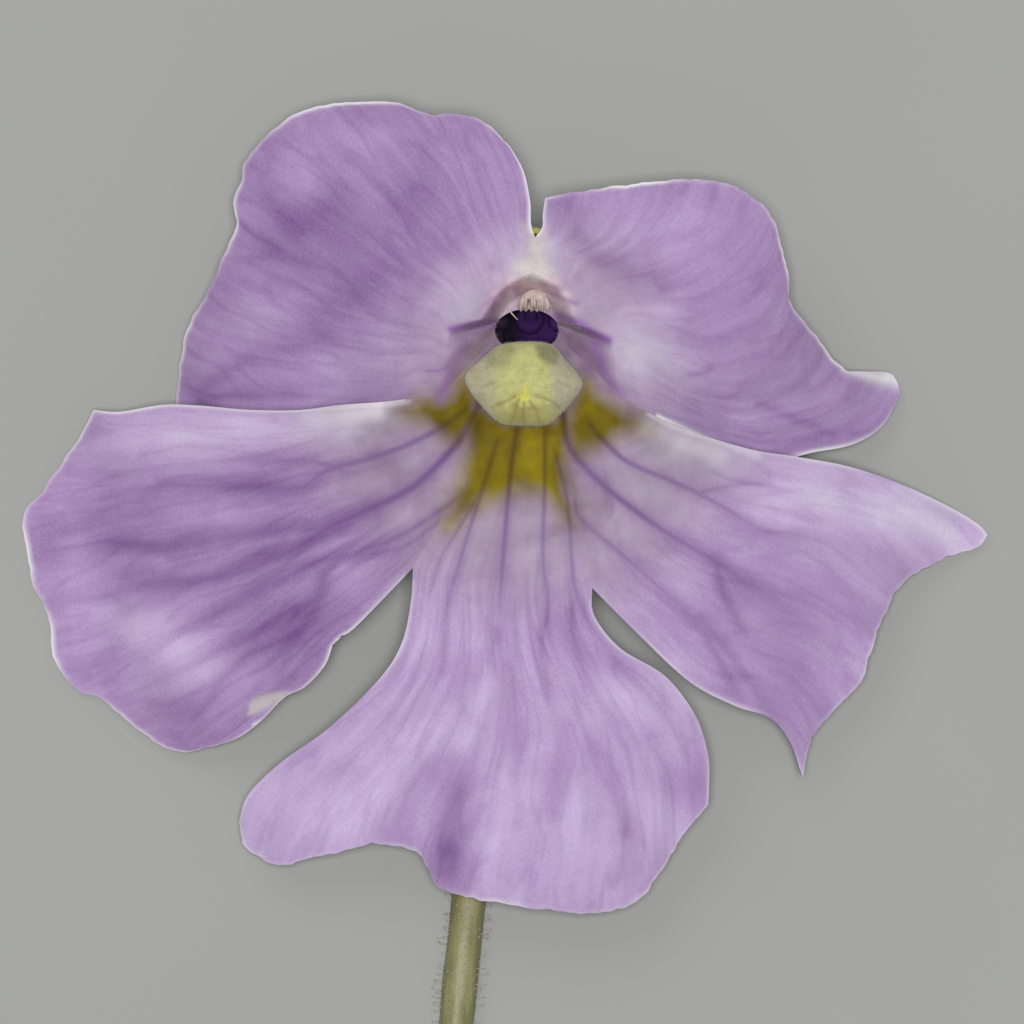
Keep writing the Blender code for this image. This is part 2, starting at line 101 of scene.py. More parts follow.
def smoothCurve(points, count):
    # Catmull-Rom through the points, then count places at even steps along its length
    given = np.array(points, float)
    ends = np.vstack([2 * given[0] - given[1], given, 2 * given[-1] - given[-2]])
    t = np.linspace(0, 1, 24, endpoint=False)[None, :, None]
    p0, p1, p2, p3 = (ends[i:len(ends) - 3 + i, None] for i in range(4))
    spans = 0.5 * (2 * p1 + (p2 - p0) * t + (2 * p0 - 5 * p1 + 4 * p2 - p3) * t**2
                   + (3 * p1 - p0 - 3 * p2 + p3) * t**3)
    fine = np.vstack([spans.reshape(-1, given.shape[1]), given[-1:]])
    along = np.r_[0, np.cumsum(np.linalg.norm(np.diff(fine, axis=0), axis=1))]
    wanted = np.linspace(0, along[-1], count)
    return np.stack([np.interp(wanted, along, fine[:, axis]) for axis in range(fine.shape[1])], axis=1)


def ripple(x, y, length, seed):
    # a smooth random swell about -1 to 1: seven plane sine waves of about this length, added up
    draw = np.random.default_rng(seed)
    total = np.zeros(np.shape(x))
    for turn, start, stretch in zip(draw.uniform(0, 2 * math.pi, 7), draw.uniform(0, 2 * math.pi, 7),
                                    draw.uniform(0.7, 1.5, 7)):
        wave = 2 * math.pi / (length * stretch)
        total = total + np.sin(wave * (x * math.cos(turn) + y * math.sin(turn)) + start)
    return total / 2.6


def seen(points):
    # where the camera sees each point on the level plane of the mouth's rim
    over = np.array(view["over"])
    shrink = (view["height"] - faceHeight) / (view["height"] - points[..., 2:3])
    return (over + (points[..., :2] - over) * shrink).reshape(-1, 2)


def gapTo(spots, path):
    # each spot's distance from the nearest place of the path, and how far along it that is, 0 to 1
    steps = np.diff(path, axis=0)
    reach = spots[:, None] - path[:-1]
    share = np.clip((reach * steps).sum(-1) / (steps**2).sum(-1), 0, 1)
    gaps = np.linalg.norm(reach - share[..., None] * steps, axis=-1)
    nearest = gaps.argmin(1)
    row = np.arange(len(spots))
    return gaps[row, nearest], (nearest + share[row, nearest]) / len(steps)


def strokes(spots, lines, wider=1.0, fade=0.0):
    # the strongest of the drawn lines at each spot: a bell curve across a line, whose half width and
    # strength run evenly from its start to its end, and which fades over the last share of its length
    total = np.zeros(len(spots))
    for widths, strengths, points in lines:
        path = smoothCurve(points, 3 * len(points))
        margin = 2.5 * max(widths) * wider
        near = np.all((spots > path.min(0) - margin) & (spots < path.max(0) + margin), axis=1)
        if not near.any():
            continue
        gap, along = gapTo(spots[near], path)
        width = wider * (widths[0] + (widths[1] - widths[0]) * along)
        strength = strengths[0] + (strengths[1] - strengths[0]) * along
        if fade:
            strength = strength * smoothStep((1 - along) / fade)
        total[near] = np.maximum(total[near], strength * bell(gap / width))
    return total


def patch(spots, outline, soft):
    # 1 inside the rounded outline and 0 outside it, fading over the soft width on both sides
    path = smoothCurve([*outline, outline[0]], 5 * len(outline))
    total = np.zeros(len(spots))
    near = np.all((spots > path.min(0) - soft) & (spots < path.max(0) + soft), axis=1)
    if near.any():
        gap, _ = gapTo(spots[near], path)
        x, y = spots[near, :1], spots[near, 1:]
        start, end = path[:-1], path[1:]
        level = np.where(end[:, 1] == start[:, 1], 1e-9, end[:, 1] - start[:, 1])
        meets = start[:, 0] + (y - start[:, 1]) / level * (end[:, 0] - start[:, 0])
        crossed = ((start[:, 1] > y) != (end[:, 1] > y)) & (x < meets)
        inside = crossed.sum(1) % 2 == 1
        total[near] = smoothStep(0.5 + np.where(inside, gap, -gap) / (2 * soft))
    return total


def blots(spots, toneAndShadeMarks):
    # the sum of soft oval marks: centre, two radii, the turn of the first radius in degrees, strength
    total = np.zeros(len(spots))
    for (x, y), (wide, high), turn, strength in toneAndShadeMarks:
        c, s = math.cos(math.radians(turn)), math.sin(math.radians(turn))
        dx, dy = spots[:, 0] - x, spots[:, 1] - y
        total += strength * bell(np.hypot((dx * c + dy * s) / wide, (dy * c - dx * s) / high))
    return total


def numbered(rows, columns, first=0):
    return first + np.arange(rows * columns).reshape(rows, columns)


def quadsOf(number):
    # the quads between the points of a numbered grid
    quads = np.stack([number[:-1, :-1], number[1:, :-1], number[1:, 1:], number[:-1, 1:]], axis=-1)
    return quads.reshape(-1, 4)


def shellFaces(front, back):
    # a closed sheet from the numbered grids of its front, which may be finer, and its back: the quads of
    # both, and faces between their borders
    step = (len(front) - 1) // (len(back) - 1)
    faces = [quadsOf(front), quadsOf(back)[:, ::-1]]
    for border, turned in ((np.s_[-1], True), (np.s_[0], False), (np.s_[:, 0], True), (np.s_[:, -1], False)):
        f, b = front[border], back[border]
        fine = [f[i:len(f) - step + i:step] for i in range(step + 1)]
        band = np.stack([*fine, b[1:], b[:-1]], axis=-1)
        faces.append(band[:, ::-1] if turned else band)
    return faces


def makeMesh(name, points, faceGroups, finish, fields=None, normals=None):
    # a smooth mesh object from points (mm from the throat) and arrays of faces, with named values on
    # its points
    points = np.asarray(points, float).reshape(-1, 3)
    sizes = np.concatenate([np.full(len(group), group.shape[1]) for group in faceGroups])
    corners = np.concatenate([group.reshape(-1) for group in faceGroups])
    mesh = bpy.data.meshes.new(name)
    mesh.vertices.add(len(points))
    mesh.vertices.foreach_set("co", ((points + throat) * mm).astype(np.float32).reshape(-1))
    mesh.loops.add(len(corners))
    mesh.loops.foreach_set("vertex_index", corners.astype(np.int32))
    mesh.polygons.add(len(sizes))
    mesh.polygons.foreach_set("loop_start", np.r_[0, np.cumsum(sizes)[:-1]].astype(np.int32))
    mesh.update(calc_edges=True)
    for label, values in (fields or {}).items():
        wide = values.ndim == 2
        layer = mesh.attributes.new(label, "FLOAT_VECTOR" if wide else "FLOAT", "POINT")
        layer.data.foreach_set("vector" if wide else "value", values.astype(np.float32).reshape(-1))
    mesh.shade_smooth()
    if normals is not None:
        mesh.normals_split_custom_set_from_vertices(normals.astype(np.float32).reshape(-1, 3))
    mesh.materials.append(finish)
    made = bpy.data.objects.new(name, mesh)
    bpy.context.scene.collection.objects.link(made)
    triangles = int((sizes - 2).sum())
    print(f"{name}: {triangles} triangles")
    return made


def place(piece, slot, *nodes):
    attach(piece, "root")
    if nodes:
        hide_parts(*nodes)


def addNode(tree, kind, settings=None, inputs=None):
    # one node with its settings. An input takes a value, a node (its first output) or a socket
    node = tree.nodes.new("ShaderNode" + kind)
    for name, value in (settings or {}).items():
        if name == "stops":
            ramp = node.color_ramp.elements
            for i, (position, colour) in enumerate(value):
                stop = ramp[i] if i < len(ramp) else ramp.new(position)
                stop.position = position
                stop.color = toLinear(colour)
        else:
            setattr(node, name, value)
    for name, value in (inputs or {}).items():
        if isinstance(value, bpy.types.Node):
            value = value.outputs[0]
        if isinstance(value, bpy.types.NodeSocket):
            tree.links.new(value, node.inputs[name])
        else:
            node.inputs[name].default_value = value
    return node


def newMaterial(name):
    made = bpy.data.materials.new(name)
    made.use_nodes = True
    made.node_tree.nodes.clear()
    return made, made.node_tree


def finishMaterial(made, values):
    # the shader with its values, on the output
    tree = made.node_tree
    addNode(tree, "OutputMaterial", None, {"Surface": addNode(tree, "BsdfPrincipled", None, values)})
    return made


petalFinish = {
    "stops": [(0.0, "#75508A"), (0.25, "#9274A2"), (0.5, "#AC92BC"), (0.75, "#C5B1D5"), (1.0, "#D9CFE2")],
    "bareStops": [(0.3, "#857585"), (0.7, "#AEA0B0")],
    "blushStops": [(0.38, "#C59AA6"), (0.62, "#EAD6D9")],
    "creamStops": [(0.3, "#BDB3B0"), (0.7, "#DAD6CE")],
    # the throat's side walls: their own mauve, painted darker still as painted shade where they face inward
    "wallStops": [(0.3, "#745B74"), (0.7, "#988391")],
    "yolkStops": [(0.3, "#5A4A00"), (0.5, "#6F5F00"), (0.75, "#8F7F00")],
    "vein": "#623C7C",
    "veinInYellow": "#45310C",
    "fold": "#87589F",
    # the white of the cut and curled edges: partly their pale back, partly a painted highlight
    "edge": "#E2DDE4",
    "cloud": 1.9,                    # mm across a paler or darker cloud
    "streak": (0.9, 7.0),            # mm across and along one streak at the lobe's full width
    "net": (0.7, 0.2, 1.0),          # meshes of the fine net per mm, across and along
    "netLine": (0.08, -0.07),        # half a net line's width in noise, and how much it darkens the tone
    "grain": 0.09,                   # mm, skin cells in twos and threes: single ones are too fine to show
    "weights": (0.3, 0.4, 0.24),     # of clouds, streaks and grain in the tone
    "veinUneven": (0.9, 0.4),        # a vein's strength is the cloud times the first, plus the second
    "streakRelief": 1.5,             # streaks stand this much higher than the grain
    "relief": (0.35, 0.03),          # strength, and height in mm
    "roughness": 0.62,
    "gloss": 0.12,
    "sheen": (0.06, 0.5),            # weight and roughness
}


def petalMaterial():
    # Living petal skin: cone-shaped cells scatter the light like velvet, so it is matt with a soft sheen
    # and no gloss. Purple sap lies in the cells along the veins, which gives the streaks and clouds, and
    # near the throat the cells between the veins have none, which leaves them a greyish lilac.
    made, tree = newMaterial("velvetyPetalSkin")
    where = addNode(tree, "TexCoord").outputs["Object"]
    field = {label: addNode(tree, "Attribute", {"attribute_name": label}).outputs["Fac"]
             for label in ("tone", "bare", "vein", "yolk", "wall", "blush", "cream", "fold", "edge")}
    flow = addNode(tree, "Attribute", {"attribute_name": "flow"}).outputs["Vector"]
    across, along = petalFinish["streak"]
    stretched = addNode(tree, "Mapping", None, {"Vector": flow, "Scale": (1 / across, 1 / along, 1.0)})
    streak = addNode(tree, "TexNoise", None, {"Vector": stretched, "Scale": 1.0, "Detail": 4.0,
                                              "Roughness": 0.6})
    cloud = addNode(tree, "TexNoise", None, {"Vector": where, "Scale": perMetre(petalFinish["cloud"]),
                                             "Detail": 4.0, "Roughness": 0.55, "Distortion": 0.3})
    grain = addNode(tree, "TexNoise", None, {"Vector": where, "Scale": perMetre(petalFinish["grain"]),
                                             "Detail": 2.0})

    # the fine net of veins: dark where a drawn-out noise crosses its own middle
    lineWidth, lineDark = petalFinish["netLine"]
    drawnOut = addNode(tree, "Mapping", None, {"Vector": flow, "Scale": petalFinish["net"]})
    net = addNode(tree, "TexNoise", None, {"Vector": drawnOut, "Scale": 1.0, "Detail": 2.0,
                                           "Distortion": 0.4})
    net = addNode(tree, "Math", {"operation": "SUBTRACT"}, {0: net, 1: 0.5})
    net = addNode(tree, "Math", {"operation": "ABSOLUTE"}, {0: net})
    net = addNode(tree, "MapRange", {"interpolation_type": "SMOOTHSTEP"}, {
        "Value": net, "From Min": 0.0, "From Max": lineWidth, "To Min": lineDark, "To Max": 0.0})

    # tone = the painted tone + the net + clouds + streaks + grain, each noise about its own middle
    tone = addNode(tree, "Math", {"operation": "ADD"}, {0: field["tone"], 1: net})
    for noise, weight in zip((cloud, streak, grain), petalFinish["weights"]):
        part = addNode(tree, "Math", {"operation": "MULTIPLY_ADD"}, {0: noise, 1: weight, 2: -0.5 * weight})
        tone = addNode(tree, "Math", {"operation": "ADD"}, {0: tone, 1: part})
    colour = addNode(tree, "ValToRGB", {"stops": petalFinish["stops"]}, {"Fac": tone})
    for label in ("bare", "blush", "cream", "wall", "yolk"):
        paint = addNode(tree, "ValToRGB", {"stops": petalFinish[label + "Stops"]}, {"Fac": cloud})
        colour = addNode(tree, "MixRGB", None, {"Fac": field[label], "Color1": colour, "Color2": paint})

    # the drawn veins, brown where they cross the yellow, then the folds, and the white of the cut and curled
    # edges: partly their pale back, partly a painted highlight
    ink = addNode(tree, "MixRGB", None, {"Fac": field["yolk"], "Color1": toLinear(petalFinish["vein"]),
                                         "Color2": toLinear(petalFinish["veinInYellow"])})
    gain, base = petalFinish["veinUneven"]
    uneven = addNode(tree, "Math", {"operation": "MULTIPLY_ADD"}, {0: cloud, 1: gain, 2: base})
    inked = addNode(tree, "Math", {"operation": "MULTIPLY", "use_clamp": True},
                    {0: field["vein"], 1: uneven})
    for share, over in ((inked, ink), (field["fold"], toLinear(petalFinish["fold"])),
                        (field["edge"], toLinear(petalFinish["edge"]))):
        colour = addNode(tree, "MixRGB", None, {"Fac": share, "Color1": colour, "Color2": over})

    # relief of the skin: shallow streaks and the grain of the cells
    strength, high = petalFinish["relief"]
    heights = addNode(tree, "Math", {"operation": "MULTIPLY_ADD"},
                      {0: streak, 1: petalFinish["streakRelief"], 2: grain})
    bump = addNode(tree, "Bump", None, {"Strength": strength, "Distance": high * mm, "Height": heights})
    weight, spread = petalFinish["sheen"]
    return finishMaterial(made, {
        "Base Color": colour, "Normal": bump, "Roughness": petalFinish["roughness"],
        "Specular IOR Level": petalFinish["gloss"], "Sheen Weight": weight, "Sheen Roughness": spread})


# Each lobe's outline from above, counterclockwise round the mouth: sideA and sideB run between the ends
# of its root and its edge, and rim is its share of the mouth's rim. Marks are soft ovals (centre, two
# radii, turn in degrees, strength) that make the tone darker or paler: partly the petal's own mottling,
# partly painted shade and painted light where a lobe turns away from or towards the light. Curls,
# streaks and veins are lines (half widths and strengths at both ends, points); a curl rolls the edge up
# and is painted white, partly its pale back and partly a painted highlight. They lie where the camera
# sees them on the rim's plane.
lobes = {
    "petalUpperLeft": {
        "columns": 320,
        "rim": [(0.2, 3.1), (-1.5, 2.3), (-2.7, 0.6), (-3.0, -0.7), (-3.25, -1.95)],
        "root": [(0.3, 3.9), (-1.9, 3.1), (-3.3, 0.9), (-3.9, -1.9)],
        "sideA": [(0.15, 4.4), (0.11, 5.27), (-0.14, 6.36)],
        "edge": [(-0.61, 7.2), (-1.41, 7.97), (-2.43, 8.38), (-3.3, 8.42), (-3.95, 8.52), (-4.55, 8.77),
                 (-6.26, 8.93), (-7.91, 8.65), (-9.19, 7.97), (-10.22, 6.89), (-10.48, 6.01), (-10.77, 5.28),
                 (-10.62, 4.47), (-11.4, 2.61), (-12.4, 0.79), (-12.84, -1.03), (-12.92, -2.61)],
        "sideB": [(-4.6, -2.3), (-5.6, -2.6), (-7.2, -2.8), (-8.6, -2.9), (-10.1, -3.0), (-11.6, -3.0)],
        "wave": 0.35, "cycles": 1.6, "phase": 0.15, "dropA": 0.0, "dropB": 1.7,
        "tone": 0.36, "bare": (0.7, 6.8), "paleRimAndHighlight": 1.0,
        "curls": [],
        "toneAndShadeMarks": [((-8.0, 4.7), (1.5, 0.8), 30, -0.16), ((-6.8, 6.3), (1.8, 1.3), 0, 0.08),
                  ((-3.7, 5.4), (1.3, 1.1), 0, -0.14), ((-6.4, 3.4), (2.8, 2.2), 0, -0.12),
                  ((-10.5, 0.0), (2.2, 1.4), 20, 0.12), ((-7.0, -1.0), (2.0, 0.9), 0, 0.22),
                  ((-4.4, -0.6), (0.7, 1.3), 0, 0.16), ((-2.5, 0.9), (1.0, 1.7), 20, 0.3),
                  ((-5.4, 7.6), (1.0, 0.5), 0, 0.16), ((-8.2, 6.0), (0.6, 0.9), 0, 0.16),
                  ((-9.5, 1.2), (1.5, 0.8), 20, 0.12)],
        "streaks": [
            ((0.6, 0.8), (0.08, 0.12), [(-7.6, 0.9), (-6.0, 2.1), (-4.6, 2.8), (-3.5, 3.1), (-2.5, 3.6)]),
            ((0.3, 0.5), (0.15, 0.06), [(-11.8, -1.6), (-10.2, -0.6), (-8.5, -0.1), (-7.2, 0.4)]),
            ((0.3, 0.5), (0.15, 0.06), [(-11.8, -2.0), (-9.3, -1.7), (-7.2, -1.4), (-6.0, -1.1)]),
        ],
        "veins": [],
    },
    "petalLowerLeft": {
        "columns": 320,
        "rim": [(-3.25, -1.95), (-2.5, -2.9), (-1.4, -3.4)],
        "root": [(-3.9, -1.9), (-4.4, -5.0), (-4.14, -8.08)],
        "sideA": [(-5.33, -2.06), (-6.79, -2.16), (-8.26, -2.34), (-10.1, -2.33), (-11.95, -2.17),
                  (-13.33, -2.13), (-14.94, -2.38)],
        "edge": [(-15.91, -2.3), (-16.63, -3.58), (-17.73, -5.13), (-18.54, -6.16), (-18.43, -7.45),
                 (-18.21, -8.74), (-17.55, -10.1), (-17.36, -11.5), (-16.63, -12.53), (-15.71, -12.97),
                 (-14.41, -13.96), (-13.48, -14.62), (-12.55, -14.83), (-11.43, -14.63)],
        "sideB": [(-5.16, -9.14), (-6.37, -10.35), (-6.99, -10.72), (-7.36, -11.63), (-8.1, -12.44),
                  (-8.84, -12.81), (-9.69, -13.66), (-10.51, -14.29)],
        "wave": 0.45, "cycles": 1.5, "phase": 0.3, "dropA": -0.35, "dropB": 0.0,
        "tone": 0.45, "bare": (0.92, 10.5), "paleRimAndHighlight": 0.95,
        "curls": [((0.1, 0.24), (0.3, 0.9), [(-8.4, -2.4), (-7.0, -2.3), (-6.2, -2.2), (-5.3, -2.15)]),
                  ((0.2, 0.1), (0.7, 0.3), [(-5.3, -2.15), (-4.8, -2.1), (-4.3, -2.05)]),
                  ((0.3, 0.35), (0.3, 0.7), [(-8.0, -2.62), (-6.6, -2.55), (-5.4, -2.4)]),
                  ((0.06, 0.08), (0.8, 0.8), [(-9.9, -13.75), (-9.4, -13.5), (-9.0, -13.25)])],
        "turnedOver": [[(-10.1, -13.4), (-9.96, -12.86), (-9.3, -12.64), (-8.5, -12.57), (-8.8, -12.86),
                        (-9.24, -13.05), (-9.75, -13.34)]],
        "toneAndShadeMarks": [((-8.4, -10.8), (2.2, 2.3), 0, -0.26), ((-10.2, -2.9), (2.0, 0.5), 0, 0.12),
                  ((-5.0, -4.9), (1.6, 1.4), 0, -0.16), ((-9.4, -5.4), (1.2, 0.9), 0, -0.12),
                  ((-14.6, -7.0), (2.4, 1.0), 0, -0.14),
                  ((-13.7, -8.9), (1.8, 1.1), 0, -0.06), ((-12.8, -10.9), (3.0, 1.1), -25, 0.33),
                  ((-12.8, -3.4), (2.9, 0.9), 0, 0.3), ((-6.8, -3.0), (3.2, 0.7), 0, 0.3),
                  ((-11.4, -13.2), (1.5, 1.0), 0, -0.1), ((-17.4, -7.5), (0.8, 3.0), 0, -0.08)],
        "streaks": [],
        "veins": [
            ((0.13, 0.05), (1.0, 0.35), [(-1.74, -2.14), (-2.07, -2.86), (-2.61, -3.66), (-3.73, -4.82),
                (-4.6, -5.43), (-6.16, -6.12), (-7.36, -6.7), (-8.48, -7.43), (-9.86, -7.79),
                (-11.41, -8.48), (-13.55, -8.66), (-16.92, -8.95)]),
            ((0.1, 0.05), (0.8, 0.3), [(-2.14, -2.28), (-3.15, -3.01), (-4.6, -3.73), (-6.16, -4.24),
                (-7.25, -4.53), (-8.3, -5.18), (-10.33, -5.11), (-13.55, -5.25), (-15.58, -5.62),
                (-17.43, -5.69)]),
            ((0.07, 0.05), (0.5, 0.25), [(-6.88, -4.42), (-8.01, -4.2), (-10.04, -4.2), (-11.05, -4.2)]),
            ((0.08, 0.05), (0.6, 0.3), [(-7.36, -6.7), (-8.95, -6.67), (-10.76, -6.96), (-13.08, -7.36),
                (-15.47, -7.07), (-16.92, -7.32)]),
            ((0.08, 0.06), (0.6, 0.3), [(-2.61, -5.62), (-4.6, -6.92), (-6.7, -7.64), (-8.66, -8.12),
                (-10.22, -9.13), (-11.7, -9.96), (-13.91, -10.98), (-16.52, -11.88)]),
            ((0.07, 0.05), (0.5, 0.3), [(-3.15, -6.34), (-4.6, -7.36), (-7.07, -7.86), (-7.54, -9.2),
                (-8.48, -10.51), (-10.4, -11.45), (-11.7, -13.01), (-13.55, -14.02)]),
            ((0.06, 0.05), (0.45, 0.25), [(-7.54, -9.2), (-9.13, -10.04), (-11.3, -11.12), (-13.66, -12.5)]),
        ],
    },
    "petalMiddle": {
        "columns": 320,
        "rim": [(-1.4, -3.4), (0.1, -3.6), (1.5, -3.4)],
        "root": [(-4.14, -8.08), (-0.9, -8.9), (2.37, -8.81)],
        "sideA": [(-4.21, -9.25), (-4.54, -10.78), (-5.35, -12.1), (-7.19, -13.9), (-9.03, -15.24),
                  (-10.22, -16.43)],
        "edge": [(-10.56, -17.43), (-10.27, -18.38), (-9.12, -19.0), (-7.57, -18.65), (-5.73, -18.23),
                 (-4.27, -18.37), (-3.61, -19.07), (-3.17, -19.77), (-1.71, -20.24), (0.48, -20.57),
                 (2.68, -20.72), (3.96, -20.32), (4.87, -19.33), (5.6, -17.97), (6.63, -16.76)],
        "sideB": [(2.44, -9.79), (3.39, -11.0), (5.03, -12.02), (6.14, -13.46), (6.62, -14.92),
                  (6.66, -16.03)],
        "wave": 0.4, "cycles": 2.0, "phase": 0.0, "dropA": 0.0, "dropB": 0.0,
        "tone": 0.59, "bare": (0.92, 10.5), "paleRimAndHighlight": 0.5,
        "curls": [],
        "toneAndShadeMarks": [((-2.9, -18.7), (0.7, 1.0), 0, -0.3), ((5.5, -15.9), (0.9, 0.7), 0, -0.12),
                  ((-8.0, -16.6), (2.2, 1.2), 0, 0.14), ((4.6, -16.4), (1.0, 1.6), 0, 0.14),
                  ((3.4, -12.7), (1.3, 0.45), -42, 0.22), ((-1.0, -17.2), (0.6, 2.2), -8, 0.18),
                  ((-5.1, -15.4), (0.7, 2.4), -35, 0.18), ((1.5, -10.2), (1.1, 1.3), 0, -0.16),
                  ((1.6, -17.6), (1.2, 1.5), 0, 0.1), ((3.0, -11.6), (1.2, 1.0), 0, -0.12),
                  ((-2.0, -13.2), (0.8, 2.4), -20, 0.1)],
        "streaks": [((0.5, 0.4), (0.14, 0.2), [(-2.6, -15.2), (-2.6, -16.8), (-2.8, -18.2)]),
                    ((0.3, 0.5), (0.1, 0.16), [(1.4, -13.8), (1.2, -15.4), (0.9, -16.8)]),
                    ((0.4, 0.4), (0.1, 0.18), [(2.4, -14.6), (3.2, -16.2), (3.6, -17.6)])],
        "veins": [
            ((0.1, 0.07), (0.9, 0.6), [(-0.33, -2.9), (-0.54, -4.17), (-0.69, -5.62), (-0.94, -8.62),
                (-1.09, -10.69)]),
            ((0.08, 0.1), (0.3, 0.15), [(-1.05, -10.4), (-1.5, -11.5), (-2.2, -12.6), (-2.83, -14.28)]),
            ((0.08, 0.1), (0.35, 0.15), [(-1.05, -10.4), (-0.75, -11.6), (-0.43, -13.62), (0.07, -16.78)]),
            ((0.08, 0.05), (0.7, 0.3), [(0.65, -3.01), (0.65, -4.89), (0.58, -7.79), (0.8, -9.46),
                (0.51, -11.12), (0.98, -12.93), (1.49, -14.09)]),
            ((0.08, 0.05), (0.7, 0.25), [(1.05, -3.99), (1.49, -5.8), (1.74, -8.8), (2.57, -10.54),
                (3.84, -11.96), (4.82, -12.86)]),
            ((0.05, 0.05), (0.4, 0.2), [(1.74, -9.24), (1.59, -9.86), (1.81, -11.12), (2.64, -13.12)]),
            ((0.08, 0.05), (0.7, 0.25), [(-1.05, -3.44), (-1.63, -5.25), (-2.43, -7.79), (-3.01, -9.96),
                (-3.15, -11.78), (-4.49, -13.62)]),
            ((0.06, 0.05), (0.5, 0.25), [(-1.63, -5.25), (-2.5, -6.7), (-3.15, -7.79), (-3.73, -9.78)]),
            ((0.2, 0.3), (0.35, 0.15), [(-2.9, -19.2), (-2.6, -17.6), (-2.5, -15.9), (-2.4, -14.5)]),
            ((0.25, 0.25), (0.25, 0.05), [(6.6, -16.3), (5.3, -15.7), (3.4, -14.9), (2.2, -14.2)]),
        ],
    },
    "petalLowerRight": {
        "columns": 280,
        "rim": [(1.5, -3.4), (2.8, -2.9), (3.6, -2.0)],
        "root": [(2.37, -8.81), (4.2, -5.6), (4.3, -2.4)],
        "sideA": [(4.12, -10.56), (5.95, -12.25), (7.6, -13.13), (8.89, -13.58), (9.64, -14.47)],
        "edge": [(10.12, -15.76), (10.45, -14.33), (11.48, -13.12), (12.29, -12.21), (12.55, -11.29),
                 (13.14, -9.72), (13.88, -8.55), (15.38, -7.74), (16.61, -7.34), (16.98, -6.9)],
        "sideB": [(5.92, -3.11), (8.12, -3.76), (9.86, -4.04), (11.82, -4.4), (13.69, -5.02),
                  (15.56, -5.87), (16.61, -6.49)],
        "wave": 0.35, "cycles": 1.5, "phase": 0.55, "dropA": 0.0, "dropB": -0.1,
        "tone": 0.59, "bare": (0.92, 10.5), "paleRimAndHighlight": 0.6,
        "curls": [((0.1, 0.22), (0.4, 0.5), [(4.4, -2.5), (5.2, -2.95), (6.6, -3.4), (8.3, -3.9)]),
                  ((0.35, 0.4), (0.25, 0.4), [(4.4, -3.0), (5.6, -3.5), (7.0, -3.95)])],
        "toneAndShadeMarks": [((7.2, -9.2), (0.8, 1.1), 0, -0.16), ((5.6, -3.8), (1.6, 0.5), -22, 0.3),
                  ((3.4, -5.8), (1.2, 1.2), 0, -0.14), ((9.6, -9.3), (2.6, 0.9), -15, -0.14),
                  ((10.8, -5.6), (3.0, 1.0), -8, 0.2), ((14.6, -6.6), (2.2, 0.9), -20, 0.3),
                  ((9.4, -12.0), (1.8, 2.2), 0, -0.16)],
        "streaks": [],
        "veins": [
            ((0.12, 0.06), (1.0, 0.4), [(1.3, -2.39), (1.49, -3.62), (2.1, -4.42), (3.01, -5.29),
                (4.06, -6.09), (5.25, -6.92), (6.88, -7.86), (8.91, -9.2), (10.94, -10.11)]),
            ((0.09, 0.05), (0.8, 0.3), [(2.28, -2.9), (2.93, -3.62), (3.73, -4.28), (5.58, -5.07),
                (7.07, -5.83), (8.91, -6.81), (12.07, -7.07)]),
            ((0.06, 0.05), (0.5, 0.2), [(6.38, -5.33), (7.36, -5.11), (8.44, -5.04), (9.89, -5.33)]),
            ((0.08, 0.05), (0.6, 0.4), [(1.74, -5.62), (1.92, -6.27), (3.55, -7.68), (5.47, -9.38),
                (6.88, -10.62), (8.12, -12.25), (9.09, -13.73), (9.71, -14.6)]),
            ((0.06, 0.05), (0.5, 0.3), [(6.27, -9.89), (6.81, -11.12), (7.54, -12.43), (8.33, -13.3)]),
            ((0.08, 0.08), (0.3, 0.3), [(3.12, -5.47), (3.08, -6.05), (2.72, -6.56)]),
            ((0.07, 0.05), (0.6, 0.3), [(6.88, -7.86), (7.07, -8.88), (7.64, -10.04), (8.15, -11.05)]),
        ],
    },
    "petalUpperRight": {
        "columns": 300,
        "rim": [(3.6, -2.0), (3.3, -0.9), (2.9, 0.5), (1.8, 2.3), (0.2, 3.1)],
        "root": [(4.3, -2.4), (3.9, 0.7), (2.5, 2.9), (0.3, 3.9)],
        "sideA": [(5.56, -2.95), (7.39, -3.7), (9.04, -4.15), (10.52, -3.86), (12.0, -3.56),
                  (13.12, -2.86)],
        "edge": [(13.79, -1.65), (13.42, -1.0), (12.26, -0.92), (11.56, -0.71), (10.52, 0.41), (9.71, 1.61),
                 (9.45, 3.07), (9.05, 4.41), (8.21, 5.43), (7.03, 5.96), (4.84, 6.02), (2.65, 5.71),
                 (0.66, 5.34)],
        "sideB": [(0.56, 4.3), (0.58, 4.72)],
        "wave": 0.3, "cycles": 1.4, "phase": 0.6, "dropA": 1.6, "dropB": 0.0,
        "tone": 0.42, "bare": (0.75, 7.2), "paleRimAndHighlight": 0.95,
        "curls": [((0.16, 0.36), (0.9, 1.1), [(11.5, -0.85), (12.0, -1.0), (12.7, -1.15), (13.4, -1.2)])],
        "toneAndShadeMarks": [((4.7, -0.6), (1.4, 1.2), 0, 0.26), ((4.8, 1.3), (1.0, 0.35), 0, 0.12),
                  ((9.0, -2.2), (2.0, 0.9), 0, 0.06), ((5.6, 4.4), (2.4, 0.9), 0, 0.06)],
        "streaks": [((0.6, 0.5), (0.16, 0.16), [(1.3, 5.0), (2.2, 3.2), (4.9, 2.3)]),
                    ((0.15, 0.15), (0.12, 0.1), [(5.6, -1.2), (6.6, -0.9)]),
                    ((0.2, 0.2), (0.12, 0.12), [(8.4, -2.1), (11.0, -3.2)])],
        "veins": [],
    },
}
